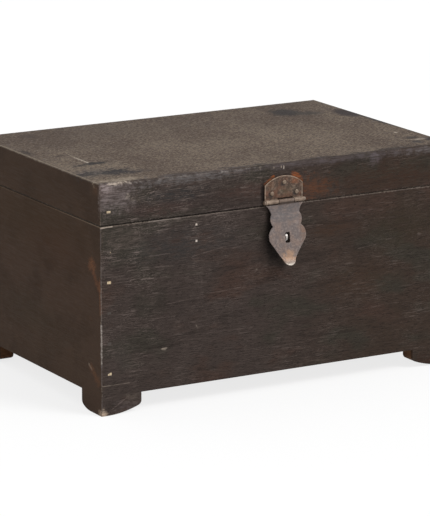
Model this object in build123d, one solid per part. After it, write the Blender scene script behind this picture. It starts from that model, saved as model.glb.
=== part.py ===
from build123d import *
import math
import os

# A small wooden chest with a hinged lid, a front hasp and an inner till.
# Sizes are in millimetres. +X is to the right of someone who faces the front,
# +Y is towards the back and +Z is up. The origin lies on the floor, under the
# middle of everything, with the hasp and the back hinges counted in.

# Carcass
WIDTH = 440.0
DEPTH = 294.0
WALL = 20.0
WALL_HEIGHT = 173.0
BASE_THICKNESS = 12.0
CORNER_EASE = 1.2
RIM_EASE = 0.8

# Lid
LID_RAIL_HEIGHT = 33.0
LID_BOARD = 12.0
LID_AIR = 0.3
LID_FRONT_ROUND = 4.5
LID_BACK_ROUND = 2.5

# Feet: an L of two sawn brackets under each corner
FOOT_HEIGHT = 21.0
FOOT_THICKNESS = 20.0
FOOT_LONG = 48.0
FOOT_SIDE = 45.0
FOOT_FLAT = 6.0
FOOT_LONG_RISE = 8.5
FOOT_SIDE_RISE = 5.5
FOOT_TOE = 5.5
FOOT_NAIL_SINK = 6.0
FOOT_NAIL_OUTER = 13.0
FOOT_NAIL_INNER = 31.0

# Till at the left end
TILL_WIDTH = 91.5
TILL_DIVIDER = 8.0
TILL_HEIGHT = 38.0
TILL_DROP = 2.0
TILL_FLOOR = 6.0
TILL_FLOOR_LIFT = 4.0
TILL_GROOVE = 3.0
TILL_FIT = 0.1
TILL_BRAD_HIGH = 8.0
TILL_BRAD_LOW = 12.2

# Bamboo pegs through the corners
PEG_WIDTH = 4.5
PEG_THICKNESS = 2.8
PEG_LENGTH = 45.0
PEG_POINT_LOSS = 0.4
PEG_COUNT = 5
PEG_LOW_MARGIN = 12.6
PEG_HIGH_MARGIN = 27.6
LID_PEG_HEIGHT = 14.6

# Nails and brads: cut from square bar, headless where they hold wood to wood
DRIVE_FIT = 0.05
NAIL_TOP = 3.4
NAIL_TIP = 0.8
NAIL_END_MARGIN = 60.0
LONG_SIDE_NAIL_COUNT = 4
SHORT_SIDE_NAIL_COUNT = 3
BASE_NAIL_LENGTH = 34.0
FOOT_NAIL_LENGTH = 20.0
LID_NAIL_LENGTH = 30.0
BRAD_TOP = 2.2
BRAD_LENGTH = 30.0
DOME_RADIUS = 2.5
DOME_BAND = 0.9
DOME_HEIGHT = 1.5
DOME_SHOULDER = 1.7
DOME_CROWN = 0.8
DOME_SIDE_COUNT = 10
DOME_SHANK = 2.2
DOME_LENGTH = 13.0

# Iron that the hasp and the back hinges share
LEAF = 1.3
LEAF_RIM = 1.1
LEAF_RIM_HEIGHT = 0.4
PIN_RADIUS = 1.2
PIN_FIT = 0.05
PIN_HEAD_RADIUS = 2.1
PIN_HEAD = 1.9
PIN_HEAD_SIDE_COUNT = 12
KNUCKLE_END_AIR = 0.3
KNUCKLE_AIR = 0.6

# Back hinges
HINGE_INSET = 80.0
HINGE_WIDTH = 42.0
HINGE_STRAIGHT = 16.0
HINGE_ARCH = 8.0
HINGE_NAIL_SPREAD = 12.0
HINGE_NAIL_LOW = 9.0
HINGE_NAIL_HIGH = 18.5

# Hasp: a leaf on the lid, and a plate that hangs from it over the staple
HASP_X = 2.5
HASP_AXIS_HEIGHT = 4.2
HASP_WIDTH = 47.4
HASP_STRAIGHT = 18.5
HASP_ARCH = 9.3
HASP_LEFT_KNUCKLE = 16.2
HASP_MIDDLE_KNUCKLE = 19.0
HASP_NAIL_TOP = (0.7, 20.4)
HASP_NAIL_LEFT = (-14.6, 9.1)
HASP_NAIL_RIGHT = (16.3, 8.3)
PLATE = 1.6
SLOT_WIDTH = 5.7
SLOT_HEIGHT = 11.3
SLOT_DROP = 39.0
SLOT_ROUND = 0.8

# Front outline of the plate: half width, and drop below the hinge axis
NECK_HOLLOW = (19.6, 7.6)
UPPER_CUSP = (17.5, 13.0)
SMALL_LOBE = (19.6, 19.2)
LOWER_CUSP = (17.1, 25.8)
BIG_LOBE = (22.4, 32.5)
HIP = (22.3, 41.5)
TIP_SIDE = (7.8, 62.5)
TIP_DROP = 68.5
SHEET_MARGIN = 4.0

# Side profile of the plate: drop below the hinge axis, and stand-out from it
NECK_BEND = (10.0, 0.6)
BELLY_BEND = (26.0, 5.2)
FLARE_BEND = (60.0, 9.6)
FLARE_END = (69.5, 15.2)
NECK_BEND_RADIUS = 30.0
BELLY_BEND_RADIUS = 70.0
FLARE_BEND_RADIUS = 16.0

# Staple: bent square bar, driven through the front board and clinched inside
STAPLE_BAR = 2.4
STAPLE_REACH_AIR = 0.55
STAPLE_SLOT_AIR = 0.75
STAPLE_SETTLE = 0.3
STAPLE_CLINCH = 12.0
STAPLE_BEND = 1.5

# Levels that follow from the sizes above
WALL_BOTTOM = FOOT_HEIGHT + BASE_THICKNESS
WALL_TOP = WALL_BOTTOM + WALL_HEIGHT
LID_BOTTOM = WALL_TOP + LID_AIR
RAIL_TOP = LID_BOTTOM + LID_RAIL_HEIGHT
LID_TOP = RAIL_TOP + LID_BOARD
TILL_TOP = WALL_TOP - TILL_DROP
TILL_BOTTOM = TILL_TOP - TILL_HEIGHT
HASP_AXIS_Z = LID_BOTTOM + HASP_AXIS_HEIGHT
HINGE_AXIS_Z = WALL_TOP + LID_AIR / 2

# Reaches and faces that follow from the sizes above
KNUCKLE_RADIUS = PIN_RADIUS + PIN_FIT + LEAF
KNUCKLE_ROOM = KNUCKLE_RADIUS + KNUCKLE_AIR
HASP_REACH = KNUCKLE_ROOM + FLARE_END[1]
HINGE_REACH = KNUCKLE_ROOM + KNUCKLE_RADIUS
CENTRE_Y = (HASP_REACH - HINGE_REACH) / 2
FRONT_Y = CENTRE_Y - DEPTH / 2
BACK_Y = CENTRE_Y + DEPTH / 2
LEFT_X = -WIDTH / 2
DIVIDER_X = LEFT_X + WALL + TILL_WIDTH
HINGE_X = WIDTH / 2 - HINGE_INSET

# Middle of the chest's height lines, front to back and side to side
SIDE_LINE = WIDTH / 2 - WALL / 2
END_LINE = DEPTH / 2 - WALL / 2
FLAT_MIRROR = Plane(origin=(0, CENTRE_Y, 0), z_dir=(0, 1, 0))

CORNER = (Align.MIN, Align.MIN, Align.MIN)


def face_plane(x, y, z, outward):
    """A plane on an outer face at a point, with its Z outwards and its Y up where it can be."""
    across = {(0, -1, 0): (1, 0, 0), (0, 1, 0): (-1, 0, 0)}.get(outward, (1, 0, 0))
    return Plane(origin=(x, y, z), x_dir=across, z_dir=outward)


FRONT = face_plane(0, FRONT_Y, 0, (0, -1, 0))
BACK = face_plane(0, BACK_Y, 0, (0, 1, 0))
UNDER_FEET = face_plane(0, CENTRE_Y, 0, (0, 0, -1))
UNDER_BASE = face_plane(0, CENTRE_Y, FOOT_HEIGHT, (0, 0, -1))
ON_LID = face_plane(0, CENTRE_Y, LID_TOP, (0, 0, 1))


def spread(reach, count):
    """Evenly spaced places from -reach to reach."""
    return [reach * (2 * index / (count - 1) - 1) for index in range(count)]


def plank(low, size):
    """A rectangular board from its lowest corner."""
    return Pos(*low) * Box(*size, align=CORNER)


def meet(first, second):
    """Whether the boxes around two shapes overlap."""
    one = first.bounding_box()
    two = second.bounding_box()
    below = all(low < high for low, high in zip(one.min, two.max))
    return below and all(low < high for low, high in zip(two.min, one.max))


def bored(board, *cutter_groups):
    """The board with every hole or groove that reaches it."""
    cutters = [cutter for group in cutter_groups for cutter in group if meet(board, cutter)]
    return board.cut(*cutters).solid() if cutters else board


# Edges of the carcass

def is_corner(edge):
    """Whether an upright edge is one of the chest's own four corners."""
    point = edge.center()
    at_side = abs(abs(point.X) - WIDTH / 2) < CORNER_EASE / 2
    return at_side and abs(abs(point.Y - CENTRE_Y) - DEPTH / 2) < CORNER_EASE / 2


def is_outside(edge):
    """Whether an edge lies on the outer faces, or on an eased corner between them."""
    point = edge.center()
    at_side = abs(point.X) > WIDTH / 2 - CORNER_EASE
    return at_side or abs(point.Y - CENTRE_Y) > DEPTH / 2 - CORNER_EASE


def eased_corners(board):
    """The board with the chest's corners rounded where it reaches them."""
    corners = [edge for edge in board.edges().filter_by(Axis.Z) if is_corner(edge)]
    return fillet(corners, CORNER_EASE) if corners else board


def eased_rim(board, which):
    """The board with the outer edges of its top (-1) or bottom (0) face broken."""
    rim = board.faces().sort_by(Axis.Z)[which].edges()
    return chamfer([edge for edge in rim if is_outside(edge)], RIM_EASE)


# Fasteners

def tapered(profile, length, loss):
    """A bar up from a profile, each of its sides drawn in by the loss at the far end."""
    return extrude(profile, length, taper=math.degrees(math.atan2(loss, length)))


def driven(profile, length, loss):
    """A tapered bar down from a profile on the local XY plane, as a nail or peg goes into wood."""
    return Rot(180, 0, 0) * tapered(profile, length, loss)


def peg(fit=0.0):
    """A flat bamboo peg, its head on the local XY plane and its point down."""
    head = Rectangle(PEG_WIDTH + 2 * fit, PEG_THICKNESS + 2 * fit)
    return driven(head, PEG_LENGTH + fit, PEG_POINT_LOSS)


def cut_nail(length, top, fit):
    """A headless square nail that narrows to its tip."""
    side = top + 2 * fit
    return driven(Rectangle(side, side), length + fit, (top - NAIL_TIP) / 2)


def nail(length, fit=0.0):
    """A nail that holds boards together."""
    return cut_nail(length, NAIL_TOP, fit)


def brad(fit=0.0):
    """A thin nail for the till."""
    return cut_nail(BRAD_LENGTH, BRAD_TOP, fit)


def dome_nail():
    """An iron nail with a hammered dome, the underside of its head on the local XY plane."""
    band = tapered(RegularPolygon(DOME_RADIUS, DOME_SIDE_COUNT), DOME_BAND, DOME_RADIUS - DOME_SHOULDER)
    shoulder = Pos(0, 0, DOME_BAND) * RegularPolygon(DOME_SHOULDER, DOME_SIDE_COUNT)
    crown = tapered(shoulder, DOME_HEIGHT - DOME_BAND, DOME_SHOULDER - DOME_CROWN)
    return (band + crown + cut_nail(DOME_LENGTH, DOME_SHANK, 0.0)).solid()


def dome_nail_room():
    """What a dome nail's shank takes out of the leaf and the wood."""
    return cut_nail(DOME_LENGTH, DOME_SHANK, DRIVE_FIT)


def foot_nail_room():
    """A foot nail's hole, with the square pocket above it that keeps it off the floor."""
    side = NAIL_TOP + 2 * DRIVE_FIT
    pocket = Box(side, side, FOOT_NAIL_SINK, align=(Align.CENTER, Align.CENTER, Align.MIN))
    return (nail(FOOT_NAIL_LENGTH, DRIVE_FIT) + pocket).solid()


def placed(plane, places, fastener):
    """Copies of a fastener on a plane."""
    return [plane * Pos(x, y, 0) * fastener for x, y in places]


def corner_peg_places(heights):
    """Where pegs go in at both ends of a long board."""
    return [(side * SIDE_LINE, z) for side in (-1, 1) for z in heights]


def wall_peg_heights():
    """Heights of the pegs in the carcass."""
    half = (WALL_HEIGHT - PEG_LOW_MARGIN - PEG_HIGH_MARGIN) / 2
    middle = WALL_BOTTOM + PEG_LOW_MARGIN + half
    return [middle + offset for offset in spread(half, PEG_COUNT)]


def rim_nail_places():
    """Where nails go in over the four walls, on a horizontal plane."""
    long_reach = WIDTH / 2 - NAIL_END_MARGIN
    short_reach = DEPTH / 2 - NAIL_END_MARGIN
    along = [(x, side * END_LINE) for side in (-1, 1) for x in spread(long_reach, LONG_SIDE_NAIL_COUNT)]
    across = [(side * SIDE_LINE, y) for side in (-1, 1) for y in spread(short_reach, SHORT_SIDE_NAIL_COUNT)]
    return along + across


def foot_nail_places():
    """Two nails for each long foot bracket and one for each side bracket."""
    inset = FOOT_THICKNESS / 2
    side_middle = (FOOT_THICKNESS + FOOT_SIDE) / 2
    one_corner = [(FOOT_NAIL_OUTER, inset), (FOOT_NAIL_INNER, inset), (inset, side_middle)]
    signs = [(right, back) for right in (-1, 1) for back in (-1, 1)]
    return [
        (right * (WIDTH / 2 - x), back * (DEPTH / 2 - y))
        for right, back in signs
        for x, y in one_corner
    ]


def till_brad_places():
    """Where brads go in through the front and back boards into the till's divider."""
    middle = DIVIDER_X + TILL_DIVIDER / 2
    return [(middle, TILL_TOP - TILL_BRAD_HIGH), (middle, TILL_BOTTOM + TILL_BRAD_LOW)]


def turned(places):
    """The same places on the back, whose own X runs the other way."""
    return [(-x, z) for x, z in places]


# Hinge leaves and pins, made flat: X across, Y up from the hinge axis, Z out of the wood

def along_x(radius, start, end):
    """A round bar on the hinge axis."""
    bar = Cylinder(radius, end - start, rotation=(0, 90, 0))
    return Pos((start + end) / 2, 0, KNUCKLE_ROOM) * bar


def knuckles(spans):
    """The rolled eyes of one leaf, with a little air at each end."""
    gap = KNUCKLE_END_AIR / 2
    return [along_x(KNUCKLE_RADIUS, start + gap, end - gap) for start, end in spans]


def pin_bore(width):
    """The bore through a whole hinge."""
    return along_x(PIN_RADIUS + PIN_FIT, -width, width)


def hinge_pin(width):
    """A pin with both its ends hammered over into heads."""
    shaft = along_x(PIN_RADIUS, -width / 2, width / 2)
    head = extrude(RegularPolygon(PIN_HEAD_RADIUS, PIN_HEAD_SIDE_COUNT), PIN_HEAD)
    ends = [Pos(side * width / 2, 0, KNUCKLE_ROOM) * Rot(0, side * 90, 0) * head for side in (-1, 1)]
    return (shaft + ends).solid()


def leaf_outline(width, straight, arch):
    """A leaf with straight sides and an arched end."""
    side = width / 2
    sides = Polyline((-side, straight), (-side, 0), (side, 0), (side, straight))
    top = ThreePointArc((side, straight), (0, straight + arch), (-side, straight))
    return make_face([sides, top])


def raised_rim(outline):
    """The ridge along a leaf's edge, stopped short of the knuckles."""
    ridge = extrude(outline - offset(outline, amount=-LEAF_RIM), LEAF_RIM_HEIGHT)
    clear = Box(2 * outline.bounding_box().size.X, 2 * LEAF_RIM, 3 * LEAF_RIM_HEIGHT)
    return Pos(0, 0, LEAF) * (ridge - clear)


def hinge_leaf(plain, width, own, others, nail_places):
    """An iron leaf from its plain sheet: its own knuckles, and notches for the other leaf's."""
    leaf = plain
    for start, end in others:
        leaf -= Pos((start + end) / 2, 0, 0) * Box(end - start, 2 * KNUCKLE_ROOM, 2 * KNUCKLE_ROOM)
    leaf = leaf + knuckles(own) - pin_bore(width)
    holes = placed(Plane.XY.offset(LEAF), nail_places, dome_nail_room())
    return leaf.cut(*holes).solid()


def back_hinge_spans():
    """Three equal knuckles: the outer two, and the middle one."""
    end = HINGE_WIDTH / 2
    inner = HINGE_WIDTH / 6
    return [(-end, -inner), (inner, end)], [(-inner, inner)]


def back_hinge_nails():
    """Nail places in a back hinge's leaf."""
    return [(-HINGE_NAIL_SPREAD, HINGE_NAIL_LOW), (HINGE_NAIL_SPREAD, HINGE_NAIL_LOW), (0, HINGE_NAIL_HIGH)]


def back_leaf(own, others):
    """One leaf of a back hinge."""
    plain = extrude(leaf_outline(HINGE_WIDTH, HINGE_STRAIGHT, HINGE_ARCH), LEAF)
    return hinge_leaf(plain, HINGE_WIDTH, own, others, back_hinge_nails())


def back_hinge_plane(side):
    """The place of a back hinge: -1 is the left one."""
    return face_plane(side * HINGE_X, BACK_Y, HINGE_AXIS_Z, (0, 1, 0))


def below_axis(plane):
    """The same plane, turned so that a leaf hangs down."""
    return plane * Rot(0, 0, 180)


# Hasp

HASP_PLANE = face_plane(HASP_X, FRONT_Y, HASP_AXIS_Z, (0, -1, 0))
HASP_NAILS = [HASP_NAIL_TOP, HASP_NAIL_LEFT, HASP_NAIL_RIGHT]


def hasp_spans():
    """The lid leaf's two knuckles, and the plate's one between them."""
    first = -HASP_WIDTH / 2 + HASP_LEFT_KNUCKLE
    second = first + HASP_MIDDLE_KNUCKLE
    return [(-HASP_WIDTH / 2, first), (second, HASP_WIDTH / 2)], [(first, second)]


def stand_out(drop):
    """How far the plate's middle stands out from the axis, at a drop below it."""
    (drop_a, out_a), (drop_b, out_b) = BELLY_BEND, FLARE_BEND
    return out_a + (out_b - out_a) * (drop - drop_a) / (drop_b - drop_a)


def plate_sheet():
    """The bent iron sheet that the plate is cut from."""
    bends = [(0.0, 0.0), NECK_BEND, BELLY_BEND, FLARE_BEND, FLARE_END]
    points = [(0, -drop, KNUCKLE_ROOM + out) for drop, out in bends]
    path = FilletPolyline(*points, radius=[NECK_BEND_RADIUS, BELLY_BEND_RADIUS, FLARE_BEND_RADIUS])
    start = Plane(origin=path @ 0, x_dir=(1, 0, 0), z_dir=path % 0)
    return sweep(start * Rectangle(HASP_WIDTH + 2 * SHEET_MARGIN, PLATE), path=path)


def plate_side(sign):
    """One side of the plate's outline, from its shoulder down to the tip."""
    shoulder, hollow, upper, small, lower, big, hip, tip = [
        (sign * half, -drop)
        for half, drop in (
            (HASP_WIDTH / 2, KNUCKLE_ROOM),
            NECK_HOLLOW,
            UPPER_CUSP,
            SMALL_LOBE,
            LOWER_CUSP,
            BIG_LOBE,
            HIP,
            TIP_SIDE,
        )
    ]
    return [
        ThreePointArc(shoulder, hollow, upper),
        ThreePointArc(upper, small, lower),
        ThreePointArc(lower, big, hip),
        Line(hip, tip),
    ]


def plate_outline():
    """The plate's front outline, with the tongue that rolls into its knuckle."""
    half, drop = TIP_SIDE
    tip = ThreePointArc((-half, -drop), (0, -TIP_DROP), (half, -drop))
    shoulders = Line((-HASP_WIDTH / 2, -KNUCKLE_ROOM), (HASP_WIDTH / 2, -KNUCKLE_ROOM))
    start, end = hasp_spans()[1][0]
    gap = KNUCKLE_END_AIR / 2
    tongue_width = end - start - 2 * gap
    tongue = Pos((start + end) / 2, -KNUCKLE_ROOM / 2) * Rectangle(tongue_width, KNUCKLE_ROOM)
    return make_face(plate_side(1) + plate_side(-1) + [tip, shoulders]) + tongue


def hasp_plate():
    """The hanging plate, with its knuckle and its slot."""
    room = 2 * (KNUCKLE_ROOM + FLARE_END[1])
    plate = plate_sheet() & extrude(plate_outline(), room)
    slot = extrude(Pos(0, -SLOT_DROP) * RectangleRounded(SLOT_WIDTH, SLOT_HEIGHT, SLOT_ROUND), room)
    plate = plate + knuckles(hasp_spans()[1]) - pin_bore(HASP_WIDTH) - slot
    return plate.solid()


def hasp_leaf():
    """The leaf on the lid, with its raised rim."""
    own, others = hasp_spans()
    outline = leaf_outline(HASP_WIDTH, HASP_STRAIGHT, HASP_ARCH)
    plain = extrude(outline, LEAF) + raised_rim(outline)
    return hinge_leaf(plain, HASP_WIDTH, own, others, HASP_NAILS)


STAPLE_HALF = SLOT_HEIGHT / 2 - STAPLE_SLOT_AIR - STAPLE_BAR / 2
STAPLE_REACH = KNUCKLE_ROOM + stand_out(SLOT_DROP) - PLATE / 2 - STAPLE_REACH_AIR
STAPLE_PLANE = HASP_PLANE * Pos(0, -SLOT_DROP - STAPLE_SETTLE, 0)


def staple():
    """A bar with a round crown, its legs through the board and bent over inside."""
    crown_z = STAPLE_REACH - STAPLE_BAR / 2 - STAPLE_HALF
    inside = -WALL - STAPLE_BEND
    end = STAPLE_HALF + STAPLE_CLINCH
    upper_point = (0, end, inside)
    upper_bend = (0, STAPLE_HALF, inside)
    upper_leg = (0, STAPLE_HALF, crown_z)
    lower_point, lower_bend, lower_leg = [(x, -y, z) for x, y, z in (upper_point, upper_bend, upper_leg)]
    upper = FilletPolyline(upper_point, upper_bend, upper_leg, radius=STAPLE_BEND)
    crown = ThreePointArc(upper_leg, (0, 0, crown_z + STAPLE_HALF), lower_leg)
    lower = FilletPolyline(lower_leg, lower_bend, lower_point, radius=STAPLE_BEND)
    path = Wire(upper.edges() + crown.edges() + lower.edges())
    start = Plane(origin=path @ 0, x_dir=(1, 0, 0), z_dir=path % 0)
    return sweep(start * Rectangle(STAPLE_BAR, STAPLE_BAR), path=path).solid()


def staple_holes():
    """The two holes for the staple's legs."""
    side = STAPLE_BAR + 2 * DRIVE_FIT
    hole = Box(side, side, 4 * WALL)
    return [STAPLE_PLANE * Pos(0, side * STAPLE_HALF, 0) * hole for side in (-1, 1)]


# Boards

def till_floor(fit=0.0):
    """The till's floor, which reaches into grooves all round; with a fit, the grooves themselves."""
    reach = TILL_GROOVE - TILL_FIT + fit
    low = (LEFT_X + WALL - reach, FRONT_Y + WALL - reach, TILL_BOTTOM + TILL_FLOOR_LIFT - fit)
    size = (TILL_WIDTH + 2 * reach, DEPTH - 2 * WALL + 2 * reach, TILL_FLOOR + 2 * fit)
    return plank(low, size)


def till_divider():
    """The till's upright board."""
    low = (DIVIDER_X, FRONT_Y + WALL, TILL_BOTTOM)
    return plank(low, (TILL_DIVIDER, DEPTH - 2 * WALL, TILL_HEIGHT))


def wall(low, size):
    """A wall board of the carcass, eased outside and at its top."""
    return eased_rim(eased_corners(plank(low, size)), -1)


def rail(low, size):
    """A rail of the lid, eased outside and at its bottom."""
    return eased_rim(eased_corners(plank(low, size)), 0)


def four_boards(make, bottom, height):
    """Front, back, left and right boards: the long ones lap the ends of the short ones."""
    long_size = (WIDTH, WALL, height)
    short_size = (WALL, DEPTH - 2 * WALL, height)
    return (
        make((LEFT_X, FRONT_Y, bottom), long_size),
        make((LEFT_X, BACK_Y - WALL, bottom), long_size),
        make((LEFT_X, FRONT_Y + WALL, bottom), short_size),
        make((-LEFT_X - WALL, FRONT_Y + WALL, bottom), short_size),
    )


def base_board():
    """The bottom of the chest, flush with the walls above it."""
    return eased_corners(plank((LEFT_X, FRONT_Y, FOOT_HEIGHT), (WIDTH, DEPTH, BASE_THICKNESS)))


def lid_board():
    """The top of the lid, rounded along its front, less along its back, and broken at its ends."""
    section = Polyline(
        (FRONT_Y, RAIL_TOP),
        (BACK_Y, RAIL_TOP),
        (BACK_Y, LID_TOP),
        (FRONT_Y, LID_TOP),
        close=True,
    )
    board = Pos(LEFT_X, 0, 0) * extrude(Plane.YZ * make_face(section), WIDTH)
    top = board.faces().sort_by(Axis.Z)[-1].edges().filter_by(Axis.X).sort_by(Axis.Y)
    board = fillet(top[0], LID_FRONT_ROUND)
    top = board.faces().sort_by(Axis.Z)[-1].edges().filter_by(Axis.X).sort_by(Axis.Y)
    board = fillet(top[-1], LID_BACK_ROUND)
    for side in (0, -1):
        rim = board.faces().sort_by(Axis.X)[side].edges()
        board = chamfer([edge for edge in rim if edge.center().Z > RAIL_TOP], RIM_EASE)
    return board.solid()


def foot_profile(length, rise):
    """A foot's outline: flat at the corner, then a long curve up to a rounded toe."""
    sole = Line((0, 0), (FOOT_FLAT, 0))
    curve = TangentArc((FOOT_FLAT, 0), (length, rise), tangent=(1, 0))
    rest = Polyline((length, rise), (length, FOOT_HEIGHT), (0, FOOT_HEIGHT), (0, 0))
    outline = make_face([sole, curve, rest])
    toe = outline.vertices().sort_by_distance((length, rise))[0]
    return fillet(toe, FOOT_TOE)


def long_foot():
    """The bracket under the front edge at the left corner."""
    plane = Plane(origin=(LEFT_X, FRONT_Y, 0), x_dir=(1, 0, 0), z_dir=(0, -1, 0))
    return eased_corners(plane * extrude(foot_profile(FOOT_LONG, FOOT_LONG_RISE), -FOOT_THICKNESS))


def side_foot():
    """The bracket behind it, under the left side."""
    plane = Plane(origin=(LEFT_X, FRONT_Y + FOOT_THICKNESS, 0), x_dir=(0, 1, 0), z_dir=(1, 0, 0))
    return plane * extrude(foot_profile(FOOT_SIDE - FOOT_THICKNESS, FOOT_SIDE_RISE), FOOT_THICKNESS)


def feet():
    """All eight foot brackets by name, from the two at the front left."""
    named = {}
    for kind, bracket in (("long", long_foot()), ("side", side_foot())):
        back = mirror(bracket, about=FLAT_MIRROR)
        named[f"foot_front_left_{kind}"] = bracket
        named[f"foot_back_left_{kind}"] = back
        named[f"foot_front_right_{kind}"] = mirror(bracket, about=Plane.YZ)
        named[f"foot_back_right_{kind}"] = mirror(back, about=Plane.YZ)
    return named


# Groups of fasteners, and the holes that they need

def corner_pegs(heights, fit=0.0):
    """Pegs through the front and the back at some heights."""
    places = corner_peg_places(heights)
    return placed(FRONT, places, peg(fit)), placed(BACK, places, peg(fit))


def base_nails(fit=0.0):
    """Nails up through the base into the walls."""
    return placed(UNDER_BASE, rim_nail_places(), nail(BASE_NAIL_LENGTH, fit))


def lid_nails(fit=0.0):
    """Nails down through the lid's board into its rails."""
    return placed(ON_LID, rim_nail_places(), nail(LID_NAIL_LENGTH, fit))


def foot_nails(fastener):
    """Nails up through the feet into the base, their heads sunk into the feet."""
    return placed(UNDER_FEET.offset(-FOOT_NAIL_SINK), foot_nail_places(), fastener)


def till_brads(fit=0.0):
    """Brads through the front and the back into the till's divider."""
    front = placed(FRONT, till_brad_places(), brad(fit))
    return front + placed(BACK, turned(till_brad_places()), brad(fit))


def leaf_nails(plane, places, fastener):
    """Dome nails or their holes on a leaf's face."""
    return placed(plane * Pos(0, 0, LEAF), places, fastener)


def lower_hinge_nails(fastener):
    """Dome nails or their holes in both back hinges' lower leaves."""
    planes = [below_axis(back_hinge_plane(side)) for side in (-1, 1)]
    return [one for plane in planes for one in leaf_nails(plane, back_hinge_nails(), fastener)]


def upper_hinge_nails(fastener):
    """Dome nails or their holes in both back hinges' upper leaves."""
    planes = [back_hinge_plane(side) for side in (-1, 1)]
    return [one for plane in planes for one in leaf_nails(plane, back_hinge_nails(), fastener)]


def carcass_parts():
    """The walls, the base, the feet, the till and what holds them together."""
    front_pegs, back_pegs = corner_pegs(wall_peg_heights())
    peg_holes = sum(corner_pegs(wall_peg_heights(), DRIVE_FIT), [])
    hinge_holes = lower_hinge_nails(dome_nail_room())
    base_holes = base_nails(DRIVE_FIT)
    foot_holes = foot_nails(foot_nail_room())
    brad_holes = till_brads(DRIVE_FIT)
    groove = [till_floor(TILL_FIT)]
    names = ("front_board", "back_board", "left_side_board", "right_side_board")
    boards = four_boards(wall, WALL_BOTTOM, WALL_HEIGHT)
    parts = {
        name: bored(board, peg_holes, base_holes, brad_holes, groove, staple_holes(), hinge_holes)
        for name, board in zip(names, boards)
    }
    parts["base_board"] = bored(base_board(), base_holes, foot_holes)
    parts.update({name: bored(foot, foot_holes) for name, foot in feet().items()})
    parts["till_divider"] = bored(till_divider(), brad_holes, groove)
    parts["till_floor"] = till_floor()
    parts["till_brads"] = till_brads()
    parts["front_corner_pegs"] = front_pegs
    parts["back_corner_pegs"] = back_pegs
    parts["base_nails"] = base_nails()
    parts["foot_nails"] = foot_nails(nail(FOOT_NAIL_LENGTH))
    parts["hasp_staple"] = STAPLE_PLANE * staple()
    return parts


def lid_parts():
    """The lid's board and rails and what holds them together."""
    height = LID_BOTTOM + LID_PEG_HEIGHT
    peg_holes = sum(corner_pegs([height], DRIVE_FIT), [])
    nail_holes = lid_nails(DRIVE_FIT)
    hasp_holes = leaf_nails(HASP_PLANE, HASP_NAILS, dome_nail_room())
    hinge_holes = upper_hinge_nails(dome_nail_room())
    names = ("lid_front_rail", "lid_back_rail", "lid_left_rail", "lid_right_rail")
    boards = four_boards(rail, LID_BOTTOM, LID_RAIL_HEIGHT)
    parts = {
        name: bored(board, peg_holes, nail_holes, hasp_holes, hinge_holes)
        for name, board in zip(names, boards)
    }
    parts["lid_top_board"] = bored(lid_board(), nail_holes)
    parts["lid_corner_pegs"] = sum(corner_pegs([height]), [])
    parts["lid_nails"] = lid_nails()
    return parts


def back_hinge_parts(name, side):
    """One back hinge: the lower leaf has the outer knuckles and the upper leaf the middle one."""
    plane = back_hinge_plane(side)
    outer, middle = back_hinge_spans()
    return {
        f"{name}_hinge_lower_leaf": below_axis(plane) * back_leaf(outer, middle),
        f"{name}_hinge_upper_leaf": plane * back_leaf(middle, outer),
        f"{name}_hinge_pin": plane * hinge_pin(HINGE_WIDTH),
    }


def hasp_parts():
    """The hasp's leaf, nails, pin and plate."""
    return {
        "hasp_leaf": HASP_PLANE * hasp_leaf(),
        "hasp_leaf_nails": leaf_nails(HASP_PLANE, HASP_NAILS, dome_nail()),
        "hasp_pin": HASP_PLANE * hinge_pin(HASP_WIDTH),
        "hasp_plate": HASP_PLANE * hasp_plate(),
    }


def all_parts():
    """Every node of the chest, by name."""
    return {
        **carcass_parts(),
        **lid_parts(),
        **back_hinge_parts("left", -1),
        **back_hinge_parts("right", 1),
        "hinge_lower_nails": lower_hinge_nails(dome_nail()),
        "hinge_upper_nails": upper_hinge_nails(dome_nail()),
        **hasp_parts(),
    }


def main():
    """Write one STEP file for each node."""
    os.makedirs("parts", exist_ok=True)
    for name, shape in all_parts().items():
        solids = shape if isinstance(shape, list) else [shape]
        export_step(solids[0] if len(solids) == 1 else Compound(solids), f"parts/{name}.step")


if __name__ == "__main__":
    main()
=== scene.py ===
"""The looks of a small wooden chest: its stained boards, bamboo pegs and old iron."""

import logging
import math
from dataclasses import dataclass
from enum import Enum
from random import Random
from typing import Any, Callable, Optional, Sequence, Union

import bmesh
import bpy
from mathutils import Euler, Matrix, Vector, noise


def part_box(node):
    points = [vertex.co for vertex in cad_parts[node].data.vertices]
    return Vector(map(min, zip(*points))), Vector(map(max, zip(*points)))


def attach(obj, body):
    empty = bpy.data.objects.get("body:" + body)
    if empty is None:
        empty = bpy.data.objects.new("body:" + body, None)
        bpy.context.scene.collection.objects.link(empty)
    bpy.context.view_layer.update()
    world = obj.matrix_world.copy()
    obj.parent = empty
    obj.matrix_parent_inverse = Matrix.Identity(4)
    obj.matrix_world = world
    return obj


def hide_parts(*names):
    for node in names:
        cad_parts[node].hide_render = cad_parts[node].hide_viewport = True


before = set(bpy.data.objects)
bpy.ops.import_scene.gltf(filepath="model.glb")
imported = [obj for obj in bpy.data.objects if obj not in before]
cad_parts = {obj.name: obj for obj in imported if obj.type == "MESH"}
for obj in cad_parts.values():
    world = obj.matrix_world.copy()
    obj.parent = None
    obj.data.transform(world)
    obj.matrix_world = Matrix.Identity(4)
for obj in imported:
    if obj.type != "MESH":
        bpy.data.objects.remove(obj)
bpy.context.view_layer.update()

log = logging.getLogger("chest")

MM = 0.001
WELD = 0.001 * MM
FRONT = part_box("front_board")[0].y
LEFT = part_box("front_board")[0].x
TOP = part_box("lid_top_board")[1].z

Socket = bpy.types.NodeSocket
Source = Union[Socket, float, Sequence[float]]
Point = tuple[float, float, float]
Tone = tuple[int, int, int]


# Colours and node wiring


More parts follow.
